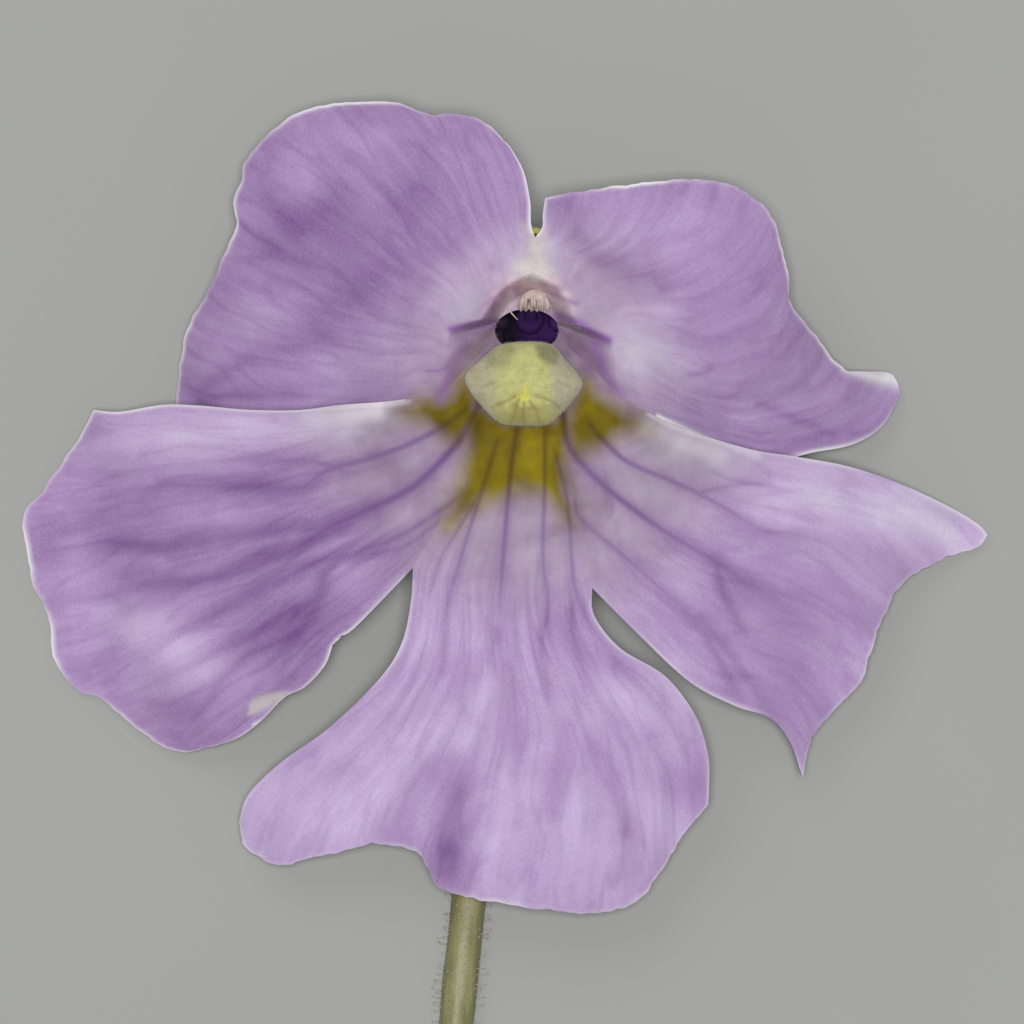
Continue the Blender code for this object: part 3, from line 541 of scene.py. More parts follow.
petalShape = {
    "bladeRows": 130,
    "collarRows": 26,
    "funnelRows": 20,
    "relaxing": 160,                 # how often each point of a blade moves to its neighbours' middle
    "dropReach": 0.45,               # a side is fully tucked under its neighbour at this share of its length
    "frill": 0.035,                  # how far the cut edge wanders in and out
    "frillWaves": [(1.0, 2.8), (0.5, 0.9), (0.4, 0.4)],      # shares and lengths of its waves
    "frillEnds": 0.8,                # the edge is still this close to its corners
    "pucker": (0.05, 2.4),           # height and length of the swells between the veins
    "puckerStretch": 0.22,           # swells are this much denser across the lobe than along it
    "groove": (0.05, 0.7),           # how deep a vein lies, and the strongest ink that deepens it
    "thickness": (0.07, 0.24),       # at the free edge, and from 1 mm inside it
    "lowest": (0.6, 0.35),           # height that a drooping lobe levels out at, and how softly
    "hover": 0.4,                    # the solids' blade is thicker by this much, so a lobe comes down by it
    "hoverFrom": (2.2, 1.6),         # below this height, and fully 1.6 mm further down
    "roll": 0.12,                    # how high a curled edge stands
    "widthRow": 30,                  # a lobe's full width is measured this many rows in from its edge
    "holeCentre": (0.0, 0.55),       # the throat's opening, deep in the funnel
    "holeRadii": (1.16, 0.78),
    "wallDepth": 1.7,
    "hoodDepth": 1.4,
    "foldTurns": (21.5, 151.8),      # degrees round the mouth, where the hood's two edges fold over the walls
    "foldBlend": 6,                  # degrees to each side over which the hood turns into the wall
    "crease": (0.25, 5, 7),          # depth in mm, and degrees beyond the fold and of half its width
    "underTurns": (55, 20),          # the floor under the palate: half its reach and its blend in degrees
    "hoodStep": (0.56, 0.45),        # start and length of the step down behind the arch
    "archLead": (0.31, 86, 34),      # how much sooner it starts at the arch, and the arch's turn and width
}

# What is painted round the mouth, seen from above: outlines, lines and soft ovals, as in the lobes.
mouthPaint = {
    "yolk": [[(-2.6, -2.4), (-2.1, -1.9), (-1.0, -2.5), (0.8, -2.6), (1.6, -2.1), (1.6, -3.4), (1.4, -4.5),
              (1.45, -5.3), (1.65, -6.5), (1.2, -6.0), (0.7, -5.6), (0.1, -5.35), (-0.5, -5.4), (-1.2, -5.7),
              (-1.9, -5.9), (-2.95, -6.8), (-2.7, -5.8), (-2.3, -4.5), (-2.2, -3.4)],
             [(-4.5, -2.45), (-3.8, -1.95), (-2.9, -1.9), (-2.5, -1.4), (-2.2, -1.0), (-1.8, -1.8),
              (-1.7, -2.6), (-2.2, -3.3), (-2.6, -3.6), (-3.1, -3.2), (-3.7, -2.8)],
             [(1.7, -1.8), (2.2, -1.2), (2.6, -1.8), (3.1, -2.1), (3.6, -2.4), (4.6, -3.1), (3.6, -3.1),
              (2.6, -3.7), (1.7, -3.9), (1.3, -2.9), (1.5, -2.3)]],
    # the side walls' outlines: their mauve is partly painted shade, where the walls face inward in the throat
    "wall": [[(-2.6, 0.5), (-1.8, 0.7), (-1.1, 0.9), (-0.6, 0.2), (-1.0, -0.6), (-1.6, -0.8), (-2.1, -1.4),
              (-2.6, -1.9), (-3.1, -2.1), (-3.3, -1.6), (-3.3, -1.0), (-2.9, -0.5), (-2.6, 0.0)],
             [(0.8, 0.9), (1.3, 0.75), (1.9, 0.65), (2.4, 0.35), (2.8, 0.2), (2.7, -0.2), (2.9, -0.6),
              (3.2, -1.1), (3.5, -1.7), (3.0, -1.9), (2.4, -1.8), (1.9, -1.3), (1.2, -0.7), (0.8, -0.2)]],
    "cream": [[(0.0, 4.3), (0.55, 4.3), (0.7, 3.3), (0.9, 2.6), (0.3, 2.4), (-0.4, 2.6), (-0.15, 3.3)]],
    "arch": [((0.35, 0.5), (0.7, 1.2), [(-1.2, 1.1), (-0.9, 1.6), (-0.5, 2.0), (0.2, 2.2)]),
             ((0.5, 0.35), (1.2, 0.7), [(0.2, 2.2), (0.8, 2.0), (1.2, 1.6), (1.4, 1.1)])],
    "umber": [((-0.35, -2.85), (1.5, 0.4), 0, 0.3), ((-2.05, -2.5), (0.35, 0.5), 30, 0.35),
              ((1.75, -2.3), (0.35, 0.5), -30, 0.35), ((-1.8, -2.9), (0.16, 0.6), -12, 0.5),
              ((-0.33, -3.3), (0.16, 0.8), -3, 0.5), ((0.7, -3.2), (0.14, 0.6), 0, 0.4),
              ((1.4, -3.1), (0.16, 0.7), 14, 0.5)],
    "pale": [((0.2, 3.1), (1.6, 1.1), 0, 0.35), ((-1.9, 1.5), (0.8, 1.0), 0, 0.22),
             ((3.9, -0.2), (1.1, 1.0), 0, 0.3), ((-2.9, 1.3), (0.8, 0.8), 0, 0.12)],
    "folds": [((0.07, 0.1), (0.3, 0.5), [(-0.7, 2.1), (-1.1, 1.7), (-1.3, 1.2)]),
              ((0.07, 0.08), (0.4, 0.5), [(0.6, 1.95), (1.2, 1.75), (1.8, 1.5)]),
              ((0.13, 0.2), (0.9, 0.8), [(-2.75, 0.57), (-2.28, 0.66), (-1.78, 0.73), (-1.09, 0.85)]),
              ((0.06, 0.05), (0.5, 0.5), [(1.2, 1.7), (1.63, 1.52)]),
              ((0.06, 0.08), (0.5, 0.7), [(1.25, 1.2), (1.6, 0.95), (1.88, 0.72)]),
              ((0.18, 0.17), (0.7, 0.9), [(1.15, 1.08), (1.88, 0.78), (2.32, 0.48), (2.95, 0.18)]),
              ((0.05, 0.07), (0.4, 0.7), [(-3.7, -0.94), (-3.12, -0.91), (-2.9, -0.76)]),
              ((0.24, 0.2), (0.35, 0.5), [(-2.2, 0.35), (-2.5, -0.47), (-2.8, -1.09), (-3.15, -1.96)]),
              ((0.26, 0.2), (0.6, 0.4), [(2.5, 0.1), (2.7, -0.62), (3.0, -1.27), (3.5, -1.85)]),
              ((0.1, 0.1), (0.4, 0.3), [(2.0, -0.1), (2.3, -0.9), (2.6, -1.5)]),
              ((0.08, 0.08), (0.3, 0.3), [(1.5, 0.4), (1.75, -0.2), (2.2, -1.0)]),
              ((0.08, 0.06), (0.3, 0.2), [(-1.9, 0.4), (-2.1, -0.2), (-2.4, -1.0)]),
              ((0.1, 0.06), (0.35, 0.1), [(-0.9, 1.9), (-1.6, 1.4), (-2.0, 1.0)])],
}


def faceLevel(x, y):
    # the petals' upper face: level at the mouth, then lower by droop times distance to a power
    dx, dy = x - mouthCentre[0], y - mouthCentre[1]
    away = np.hypot(dx, dy)
    steep = droop["ahead"] + droop["sideways"] * (dx / np.maximum(away, 0.001)) ** 2
    return faceHeight - steep * np.maximum(away - droop["rimRadius"], 0) ** droop["power"]


def bladeGrid(lobe, seed):
    # A Coons patch between the four bounding curves: the sum of the two straight blends between facing
    # curves, less the blend of the four corners. Each inner point then moves a number of times to the
    # mean of its four neighbours. Height is the droop, a wave that grows outwards, the tuck of the sides
    # and small swells.
    rows, columns = petalShape["bladeRows"], lobe["columns"]
    u = np.linspace(0, 1, columns + 1)[None, :]
    v = np.linspace(0, 1, rows + 1)[:, None]
    root = smoothCurve(lobe["root"], columns + 1)
    edge = smoothCurve(lobe["edge"], columns + 1)
    sideA, sideB = (smoothCurve([lobe["root"][end], *lobe[side], lobe["edge"][end]], rows + 1)[:, None]
                    for side, end in (("sideA", 0), ("sideB", -1)))
    along = np.r_[0, np.cumsum(np.linalg.norm(np.diff(edge, axis=0), axis=1))]
    outward = unit(np.gradient(edge, axis=0)[:, ::-1] * np.array([1, -1]))
    wander = sum(share * ripple(along, 0 * along, length, seed + i)
                 for i, (share, length) in enumerate(petalShape["frillWaves"]))
    ends = smoothStep(np.minimum(along, along[-1] - along) / petalShape["frillEnds"])
    edge = edge + outward * (petalShape["frill"] * wander * ends)[:, None]
    u3, v3 = u[..., None], v[..., None]
    corners = (1 - v3) * ((1 - u3) * root[0] + u3 * root[-1]) + v3 * ((1 - u3) * edge[0] + u3 * edge[-1])
    flat = (1 - v3) * root[None] + v3 * edge[None] + (1 - u3) * sideA + u3 * sideB - corners
    for _ in range(petalShape["relaxing"]):
        flat[1:-1, 1:-1] = 0.25 * (flat[:-2, 1:-1] + flat[2:, 1:-1] + flat[1:-1, :-2] + flat[1:-1, 2:])
    x, y = flat[..., 0], flat[..., 1]
    wave = lobe["wave"] * v**1.5 * np.sin(2 * math.pi * (lobe["cycles"] * u + lobe["phase"]))
    tuck = smoothStep(v / petalShape["dropReach"])
    drop = lobe["dropA"] * smoothStep(1 - 2 * u) + lobe["dropB"] * smoothStep(2 * u - 1)
    high, length = petalShape["pucker"]
    acrossLobe = (u - 0.5) * along[-1] + 0 * v
    alongLobe = petalShape["puckerStretch"] * v * np.hypot(*(edge.mean(0) - root.mean(0))) + 0 * u
    swell = high * smoothStep(v / 0.3) * (ripple(acrossLobe, alongLobe, length, seed + 2)
                                          + 0.25 * ripple(acrossLobe, alongLobe, length / 3, seed + 3))
    level = faceLevel(x, y) + wave - tuck * drop + swell
    # it levels out softly where it comes down onto the surface
    lowest, soft = petalShape["lowest"]
    level = lowest + soft * np.logaddexp(0, (level - lowest) / soft)
    start, reach = petalShape["hoverFrom"]
    return np.dstack([flat, level - petalShape["hover"] * smoothStep((start - level) / reach)])


def funnelGrid(rim):
    # From the rim in to the opening, t running 0 to 1: straight lines seen from above, and a depth of t
    # to a power, easing in at the rim. The hood stays level, then steps down behind the arch over the
    # stigma by a smooth step, which starts closer to the opening at the hood's sides.
    t = np.linspace(1, 0, petalShape["funnelRows"] + 1)[:-1, None]
    turn = np.arctan2(rim[:, 1] - mouthCentre[1], rim[:, 0] - mouthCentre[0])
    centre, radii = np.array(petalShape["holeCentre"]), np.array(petalShape["holeRadii"])
    hole = centre + radii * np.column_stack([np.cos(turn), np.sin(turn)])
    flat = rim[None, :, :2] + (hole - rim[:, :2])[None] * t[..., None]
    degrees = np.degrees(turn)[None]
    right, left = petalShape["foldTurns"]
    blend = petalShape["foldBlend"]
    inside = smoothStep((degrees - right + blend) / (2 * blend))
    hood = inside * smoothStep((left + blend - degrees) / (2 * blend))
    reach, soft = petalShape["underTurns"]
    under = smoothStep((reach - np.abs(degrees + 90)) / soft)
    creaseDepth, beyond, width = petalShape["crease"]
    creases = bell((degrees - right + beyond) / width) + bell((degrees - left - beyond) / width)
    wallDeep = petalShape["wallDepth"] * t**1.5 + creaseDepth * creases * np.sin(math.pi * t)
    start, length = petalShape["hoodStep"]
    lead, archTurn, archWidth = petalShape["archLead"]
    step = (t - start + lead * bell((degrees - archTurn) / archWidth)) / length
    hoodDeep = petalShape["hoodDepth"] * smoothStep(step) + 0.15 * t
    underDeep = petalShape["wallDepth"] * t**1.4
    deep = hood * hoodDeep + (1 - hood) * ((1 - under) * wallDeep + under * underDeep)
    return np.dstack([flat, faceLevel(flat[..., 0], flat[..., 1]) - deep])


def petalGrids():
    # every lobe's sheet of points, from the opening over the rim and collar to its edge, and its normals
    grids, normals = {}, {}
    for index, (name, lobe) in enumerate(lobes.items()):
        blade = bladeGrid(lobe, 10 * index)
        rim = smoothCurve(lobe["rim"], lobe["columns"] + 1)
        rim = np.column_stack([rim, faceLevel(rim[:, 0], rim[:, 1])])
        share = np.linspace(0, 1, petalShape["collarRows"] + 1)[:-1, None, None]
        collar = rim[None] + (blade[0] - rim)[None] * share
        collar[..., 2] = faceLevel(collar[..., 0], collar[..., 1])
        grids[name] = np.vstack([funnelGrid(rim), collar, blade])
        normals[name] = gridNormal(grids[name])
    # neighbours share a seam from the opening to their roots, so there they share its normals
    joined = petalShape["funnelRows"] + petalShape["collarRows"] + 1
    names = list(lobes)
    for before, after in zip(names, names[1:] + names[:1]):
        shared = unit(normals[before][:joined, -1] + normals[after][:joined, 0])
        normals[before][:joined, -1] = shared
        normals[after][:joined, 0] = shared
    return grids, normals


def freeEdgeGap(sheet):
    # distance along the grid lines from each point to the nearest cut edge of the blade
    steps = np.linalg.norm(np.diff(sheet, axis=0), axis=2)
    fromEdge = np.vstack([np.cumsum(steps[::-1], axis=0)[::-1], np.zeros((1, sheet.shape[1]))])
    steps = np.linalg.norm(np.diff(sheet, axis=1), axis=2)
    start = np.zeros((len(sheet), 1))
    fromA = np.hstack([start, np.cumsum(steps, axis=1)])
    fromB = np.hstack([np.cumsum(steps[:, ::-1], axis=1)[:, ::-1], start])
    joined = petalShape["funnelRows"] + petalShape["collarRows"]
    fromA[:joined + 1] += 9
    fromB[:joined + 1] += 9
    # just outside the roots the sides open gradually
    opening = np.clip(6 - np.arange(len(sheet)) + joined, 0, 6)[:, None] * 0.1
    return np.minimum(fromEdge, np.minimum(fromA, fromB) + opening)


# How the painted parts blend. Lengths are in millimetres, and lines are as wide as their veins times
# the first number and fade over the last share of their length.
petalBlend = {
    "throatPale": (0.14, 5.5),       # how much paler the throat is, and how far out that reaches
    "halo": (5.5, 0.35),
    "haloDark": (0.32, 0.45),        # how much the halo darkens the tone and hides the bare flesh
    "bareFade": 5,
    "soft": {"yolk": 0.8, "wall": 0.45, "cream": 0.45, "turnedOver": 0.14},
    "wander": (0.06, 0.9, 1.1),      # how far the borders wander, and the wander's lengths
    "yolkRays": (1.2, 0.12, 1.1),    # strength, what it loses between rays, and a ray's width
    "veinFar": (14, 10),             # a vein is faint from 14 mm away, and fully dark 10 mm closer
    "veinLine": (1.4, 0.4),
    "veinBand": (3.0, 0.4),
    "creamStrength": 0.85,
    "turnedStrength": 0.8,
    "rimWidth": 0.11,
    "backInk": 0.5,                  # how strongly the painted parts show on the back
}


def petalFields(lobe, sheet, seed):
    # what the petal's material reads: the painted tone with the marks' painted shade and light, the bare
    # flesh, veins, yellow, walls darkened partly by painted shade, blush, cream, folds, the white of the cut
    # and curled edges, which is partly a painted highlight, and the way the streaks run
    spots = seen(sheet)
    gap = freeEdgeGap(sheet).reshape(-1)
    x, y = spots[:, 0], spots[:, 1]
    away = np.hypot(x - mouthCentre[0], y - mouthCentre[1])
    veins = [line for other in lobes.values() for line in other["veins"]]
    halo = strokes(spots, veins, *petalBlend["halo"])
    pale, reach = petalBlend["throatPale"]
    darker, hides = petalBlend["haloDark"]
    # the marks add painted shade and painted light to the petal's own mottled tone
    tone = (lobe["tone"] + pale * bell(away / reach) + blots(spots, lobe["toneAndShadeMarks"])
            + blots(spots, mouthPaint["pale"]) - strokes(spots, lobe["streaks"]) - darker * halo)
    strength, reach = lobe["bare"]
    bare = np.clip(strength * smoothStep((reach - away) / petalBlend["bareFade"]) - hides * halo, 0, 1)

    far, *lengths = petalBlend["wander"]
    wander = far * np.column_stack([ripple(x, y, length, seed + i) for i, length in enumerate(lengths)])
    yolk, wall, cream = (np.max([patch(spots + wander, outline, petalBlend["soft"][label])
                                 for outline in mouthPaint[label]], axis=0)
                         for label in ("yolk", "wall", "cream"))
    # painted shade on the walls, blotchy, and none where the yellow lies
    wall = wall * (1 - yolk) * (0.8 + 0.25 * ripple(x, y, 1.0, seed + 4))
    turn = np.arctan2(x - mouthCentre[0], mouthCentre[1] - y)
    full, loss, width = petalBlend["yolkRays"]
    rays = 0.5 + 0.5 * ripple(6 * turn, 0 * turn, width, 7)
    yolk = np.clip((full - loss * rays) * yolk, 0, 1)
    blush = strokes(spots, mouthPaint["arch"]) * (0.85 + 0.3 * ripple(x, y, 0.5, seed + 5))
    for outline in lobe.get("turnedOver", []):
        over = patch(spots, outline, petalBlend["soft"]["turnedOver"])
        cream = np.maximum(cream, petalBlend["turnedStrength"] * over)

    # a vein is thin and dark at the throat, then a wide faint band
    far, reach = petalBlend["veinFar"]
    thin = smoothStep((far - away) / reach)
    line = strokes(spots, veins, *petalBlend["veinLine"]) * (0.3 + 0.65 * thin)
    band = strokes(spots, veins, *petalBlend["veinBand"]) * (0.42 - 0.2 * thin)
    ink = np.maximum(np.maximum(line, band), blots(spots, mouthPaint["umber"]))
    # painted highlight: cut edges and curls are painted white, partly the pale back rolled up and partly the
    # light that rolled edges catch
    paleRimAndHighlight = lobe["paleRimAndHighlight"] * (0.68 + 0.45 * ripple(x, y, 4.0, seed + 2))
    paleEdgeAndHighlight = np.maximum(paleRimAndHighlight * bell(gap / petalBlend["rimWidth"]), 0.9 * strokes(spots, lobe["curls"]))
    return {"tone": tone, "bare": bare, "vein": ink, "yolk": yolk, "wall": wall,
            "blush": np.clip(blush, 0, 1), "cream": cream * petalBlend["creamStrength"],
            "fold": strokes(spots, mouthPaint["folds"]), "edge": np.clip(paleEdgeAndHighlight, 0, 1),
            "flow": flowOf(sheet)}


def flowOf(sheet):
    # across the lobe in shares of its full width, and along it, in millimetres: streaks that follow this
    # run out from the throat and spread like a fan
    lengths = np.linalg.norm(np.diff(sheet, axis=0), axis=2)
    along = np.vstack([np.zeros((1, sheet.shape[1])), np.cumsum(lengths, axis=0)])
    width = np.linalg.norm(np.diff(sheet[-petalShape["widthRow"]], axis=0), axis=1).sum()
    across = np.broadcast_to(np.linspace(-0.5, 0.5, sheet.shape[1]) * width, along.shape)
    return np.stack([across, along, np.zeros_like(along)], axis=-1).reshape(-1, 3)


def petalPiece(name, lobe, sheet, normal, fields, finish):
    # The front, a back at half its fineness and five-sided faces that close the two along the border.
    # The back stands behind the front by a thickness that thins out to the cut edge.
    rows, columns = sheet.shape[:2]
    gap = freeEdgeGap(sheet)[..., None]
    grooveDepth, deepest = petalShape["groove"]
    groove = grooveDepth * np.minimum(fields["vein"], deepest).reshape(rows, columns, 1)
    rolled = strokes(seen(sheet), lobe["curls"]).reshape(rows, columns, 1) * smoothStep(gap / 0.2)
    front = sheet - normal * (groove - petalShape["roll"] * rolled)
    thin, thick = petalShape["thickness"]
    back = (sheet - normal * (thin + (thick - thin) * smoothStep(gap)))[::2, ::2]
    back[..., 2] = np.maximum(back[..., 2], 0.0)
    faces = shellFaces(numbered(rows, columns), numbered(*back.shape[:2], rows * columns))
    both = {}
    for label, values in fields.items():
        behind = values.reshape(rows, columns, -1)[::2, ::2].reshape(-1, *values.shape[1:])
        if label in ("vein", "yolk", "wall", "blush", "fold"):
            behind = behind * petalBlend["backInk"]
        both[label] = np.concatenate([values, behind])
    points = np.concatenate([front.reshape(-1, 3), back.reshape(-1, 3)])
    facing = np.concatenate([normal.reshape(-1, 3), -normal[::2, ::2].reshape(-1, 3)])
    return makeMesh(name, points, faces, finish, both, facing)


petalSkin = petalMaterial()
sheets, sheetNormals = petalGrids()
painted = {}
for index, (name, lobe) in enumerate(lobes.items()):
    painted[name] = petalFields(lobe, sheets[name], 100 + 10 * index)
    piece = petalPiece(name, lobe, sheets[name], sheetNormals[name], painted[name], petalSkin)
    place(piece, "petal", "corolla")
print("petal lobes made")


def fleshMaterial(name, stops, cloud, shine, rough=0.65, grain=(0.1, 0.25), stretch=None, paints=None,
                  relief=(0.4, 0.03)):
    # Soft plant flesh: watery cells under a thin skin, in a few close shades that drift over a cloud's
    # size in mm, with a grain of its size and share: shade = clouds + share (grain - 1/2). Paints, a dark
    # and a pale shade each, lie over it where their fields say. Shine holds the shader's own values, and
    # relief its strength and its height in mm.
    made, tree = newMaterial(name)
    where = addNode(tree, "TexCoord").outputs["Object"]
    drawnOut = addNode(tree, "Mapping", None, {"Vector": where, "Scale": stretch}) if stretch else where
    clouds = addNode(tree, "TexNoise", None, {"Vector": drawnOut, "Scale": perMetre(cloud), "Detail": 4.0,
                                              "Roughness": rough})
    size, share = grain
    cells = addNode(tree, "TexNoise", None, {"Vector": where, "Scale": perMetre(size), "Detail": 2.0})
    mixed = addNode(tree, "Math", {"operation": "MULTIPLY_ADD"}, {0: cells, 1: share, 2: clouds})
    shade = addNode(tree, "Math", {"operation": "SUBTRACT"}, {0: mixed, 1: share / 2})
    colour = addNode(tree, "ValToRGB", {"stops": stops}, {"Fac": shade})
    for label, (dark, pale) in (paints or {}).items():
        field = addNode(tree, "Attribute", {"attribute_name": label}).outputs["Fac"]
        paint = addNode(tree, "ValToRGB", {"stops": [(0.3, dark), (0.7, pale)]}, {"Fac": shade})
        colour = addNode(tree, "MixRGB", None, {"Fac": field, "Color1": colour, "Color2": paint})
    strength, high = relief
    bump = addNode(tree, "Bump", None, {"Strength": strength, "Distance": high * mm,
                                        "Height": mixed if stretch else cells})
    return finishMaterial(made, {
        "Base Color": colour, "Normal": bump, **shine})


def circleRound(side, other, count):
    # unit vectors all round, cos(a) side + sin(a) other, for every pair of square directions
    turn = np.linspace(0, 2 * math.pi, count, endpoint=False)[None, :, None]
    return np.cos(turn) * side[:, None] + np.sin(turn) * other[:, None]


def rod(path, radii, sides, rings):
    # A round stem: circles of the running radius, square to the path. The path goes evenly through its
    # places, and the radius runs with it.
    route = smoothCurve(np.column_stack([np.array(path, float), np.array(radii, float)]), rings)
    centre, radius = route[:, :3], np.maximum(route[:, 3], 0.0)
    tangent = unit(np.gradient(centre, axis=0))
    side = unit(np.cross(tangent, np.array([1.0, 0.0, 0.0])))
    outward = circleRound(side, np.cross(side, tangent), sides)
    return centre[:, None] + outward * radius[:, None, None], outward


def rodFaces(rings, sides):
    # the quads of a closed stack of rings, and fans from its two poles, which follow the rings
    number = numbered(rings, sides)
    wrapped = np.hstack([number, number[:, :1]])
    poles = np.full((2, sides), [[rings * sides], [rings * sides + 1]])
    fans = [np.column_stack([poles[0], wrapped[0, :-1], wrapped[0, 1:]]),
            np.column_stack([poles[1], wrapped[-1, 1:], wrapped[-1, :-1]])]
    return [quadsOf(wrapped), *fans]


def withPoles(skin):
    # the points of a stack of rings, then the middles of its first and its last ring
    return np.concatenate([skin.reshape(-1, 3), [skin[0].mean(0), skin[-1].mean(0)]])


def ringPiece(name, skin, finish, fields=None):
    return makeMesh(name, withPoles(skin), rodFaces(*skin.shape[:2]), finish, fields)


def rodPiece(name, path, radii, sides, rings, finish):
    return ringPiece(name, rod(path, radii, sides, rings)[0], finish)


# Hairs by piece: how many, their lengths, radius and random lean, the radius of the bead of clear resin on
# each tip, and the seed of their draws.
hairs = {
    "stalkHairs": (1500, (0.18, 0.42), 0.014, 0.22, 0.034, 23),
    "calyxHairs": (420, (0.12, 0.28), 0.012, 0.2, 0.028, 31),
    "palateHairs": (4200, (0.04, 0.1), 0.009, 0.45, 0.0, 67),
    "hoodHairs": (700, (0.04, 0.12), 0.005, 0.4, 0.0, 71),
    "wallHairs": (700, (0.04, 0.12), 0.005, 0.4, 0.0, 73),
}
hairLowest = 0.06                    # no hair's tip comes closer to the surface than this


def hairMesh(name, spots, ways, finish, chance=None, lean=(0, 0, 0)):
    # Three-sided cones on some of the spots, along their ways but leaning, and on glandular hairs an
    # eight-sided bead round each tip. A spot is drawn by its chance.
    count, length, radius, scatter, bead, seed = hairs[name]
    draw = np.random.default_rng(seed)
    pick = draw.choice(len(spots), count, p=chance, replace=False)
    directions = unit(ways[pick] + np.array(lean) + draw.normal(0, scatter, (count, 3)))
    tip = spots[pick] + directions * draw.uniform(*length, count)[:, None]
    kept = tip[:, 2] > hairLowest
    roots, directions, tip = spots[pick][kept], directions[kept], tip[kept]
    steep = np.abs(directions[:, 2:3]) >= 0.9
    side = unit(np.cross(directions, np.where(steep, [[1.0, 0.0, 0.0]], [[0.0, 0.0, 1.0]])))
    other = np.cross(directions, side)
    number = np.arange(len(roots))[:, None, None]
    ring = roots[:, None] + radius * circleRound(side, other, 3)
    points = [np.concatenate([ring, tip[:, None]], axis=1).reshape(-1, 3)]
    cone = np.array([(0, 1, 3), (1, 2, 3), (2, 0, 3), (0, 2, 1)])
    faces = [(number * 4 + cone).reshape(-1, 3)]
    if bead:
        axes = (side, other, -side, -other, directions, -directions)
        points.append(np.stack([tip + bead * axis for axis in axes], axis=1).reshape(-1, 3))
        upper = [(i, (i + 1) % 4, 4) for i in range(4)]
        shell = np.array(upper + [(b, a, 5) for a, b, _ in upper])
        faces.append((len(roots) * 4 + number * 6 + shell).reshape(-1, 3))
    return makeMesh(name, np.concatenate(points), faces, finish)


# The tube behind the mouth: rings from the middle of its floor up to the opening, out under the collar
# and down its outside. Each has a centre, two radii, a depth below the rim, and 1 where it lines the
# throat.
tube = {
    "rings": [((0.1, 0.0), (0.2, 0.2), 3.6, 1), ((0.1, 0.0), (1.2, 1.2), 3.5, 1),
              ((0.1, 0.0), (1.85, 1.85), 3.1, 1), ((0.1, 0.1), (1.95, 1.95), 2.7, 1),
              ((0.05, 0.4), (1.6, 1.4), 2.15, 1), ((0.0, 0.55), (1.2, 0.84), 1.9, 1),
              ((0.1, 0.3), (1.8, 1.6), 1.95, 0), ((0.15, -0.1), (2.6, 2.4), 1.6, 0),
              ((0.2, -0.25), (3.15, 3.1), 0.6, 0), ((0.2, -0.25), (3.1, 3.1), 0.85, 0),
              ((0.15, -0.2), (2.85, 2.85), 1.5, 0), ((0.1, -0.1), (2.65, 2.65), 2.2, 0),
              ((0.1, 0.0), (2.5, 2.5), 3.0, 0), ((0.1, 0.0), (2.2, 2.2), 3.7, 0),
              ((0.1, 0.0), (1.5, 1.5), 4.15, 0), ((0.1, 0.0), (0.2, 0.2), 4.3, 0)],
    "count": 130,
    "sides": 96,
    # painted shadow: left of this the lining is painted near black, where the opening lies in deep shade
    "shadowFrom": (0.2, 0.8),          # the lining is darkest left of here, over this width
    "outside": [(0.3, "#A79BB2"), (0.7, "#C4BFC4")],
    # the lining's dark purple stands partly for the shade deep inside the opening
    "inside": [(0.35, "#2D1442"), (0.7, "#3F1E58")],
    "deep": "#140B1B",
}
spur = {
    "path": [(0.5, -1.0, 4.3), (1.1, -2.3, 3.2), (1.7, -3.5, 1.7), (2.1, -4.7, 0.85), (2.5, -6.0, 0.62),
             (2.6, -6.25, 0.6), (2.66, -6.4, 0.6)],
    "radii": [1.1, 1.05, 0.95, 0.95, 0.68, 0.48, 0.05],
    "stops": [(0.3, "#A99DB4"), (0.5, "#BDB4BF"), (0.7, "#C9C6BE")],
}


def throatMaterial():
    # The throat's lining: the petal's own skin in a dark purple that is partly painted shade for the dim
    # inside of the opening, and darker still on the left as a painted shadow. Its outside is the pale,
    # greenish back of the flower.
    made, tree = newMaterial("purpleThroatLining")
    where = addNode(tree, "TexCoord").outputs["Object"]
    clouds = addNode(tree, "TexNoise", None, {"Vector": where, "Scale": perMetre(0.7), "Detail": 4.0})
    inside, deep = (addNode(tree, "Attribute", {"attribute_name": label}).outputs["Fac"]
                    for label in ("inside", "deep"))
    outer, inner = (addNode(tree, "ValToRGB", {"stops": tube[side]}, {"Fac": clouds})
                    for side in ("outside", "inside"))
    # painted shadow: the left of the lining darkens to near black
    inner = addNode(tree, "MixRGB", None, {"Fac": deep, "Color1": inner, "Color2": toLinear(tube["deep"])})
    colour = addNode(tree, "MixRGB", None, {"Fac": inside, "Color1": outer, "Color2": inner})
    bump = addNode(tree, "Bump", None, {"Strength": 0.3, "Distance": 0.05 * mm, "Height": clouds})
    return finishMaterial(made, {
        "Base Color": colour, "Roughness": 0.7, "Specular IOR Level": 0.06, "Normal": bump})


def throatTube(finish):
    # each ring is an ellipse, and the rings run smoothly into each other from pole to pole
    table = np.array([(*centre, *radii, depth, lined) for centre, radii, depth, lined in tube["rings"]])
    middleX, middleY, wide, high, depth, lined = smoothCurve(table, tube["count"]).T[..., None]
    turn = np.linspace(0, 2 * math.pi, tube["sides"], endpoint=False)
    skin = np.stack([middleX + wide * np.cos(turn), middleY + high * np.sin(turn),
                     faceHeight - depth + 0 * turn], axis=-1)
    inside = np.append(np.clip(lined + 0 * turn, 0, 1), [1.0, 0.0])
    # the painted shadow's share, growing to the left of the opening
    start, reach = tube["shadowFrom"]
    deep = smoothStep((start - withPoles(skin)[:, 0]) / reach)
    return ringPiece("throatTube", skin, finish, {"inside": inside, "deep": deep})


def pressed(skin):
    # what would sink below the surface lies flat on it
    skin[..., 2] = np.maximum(skin[..., 2], 0.0)
    return skin


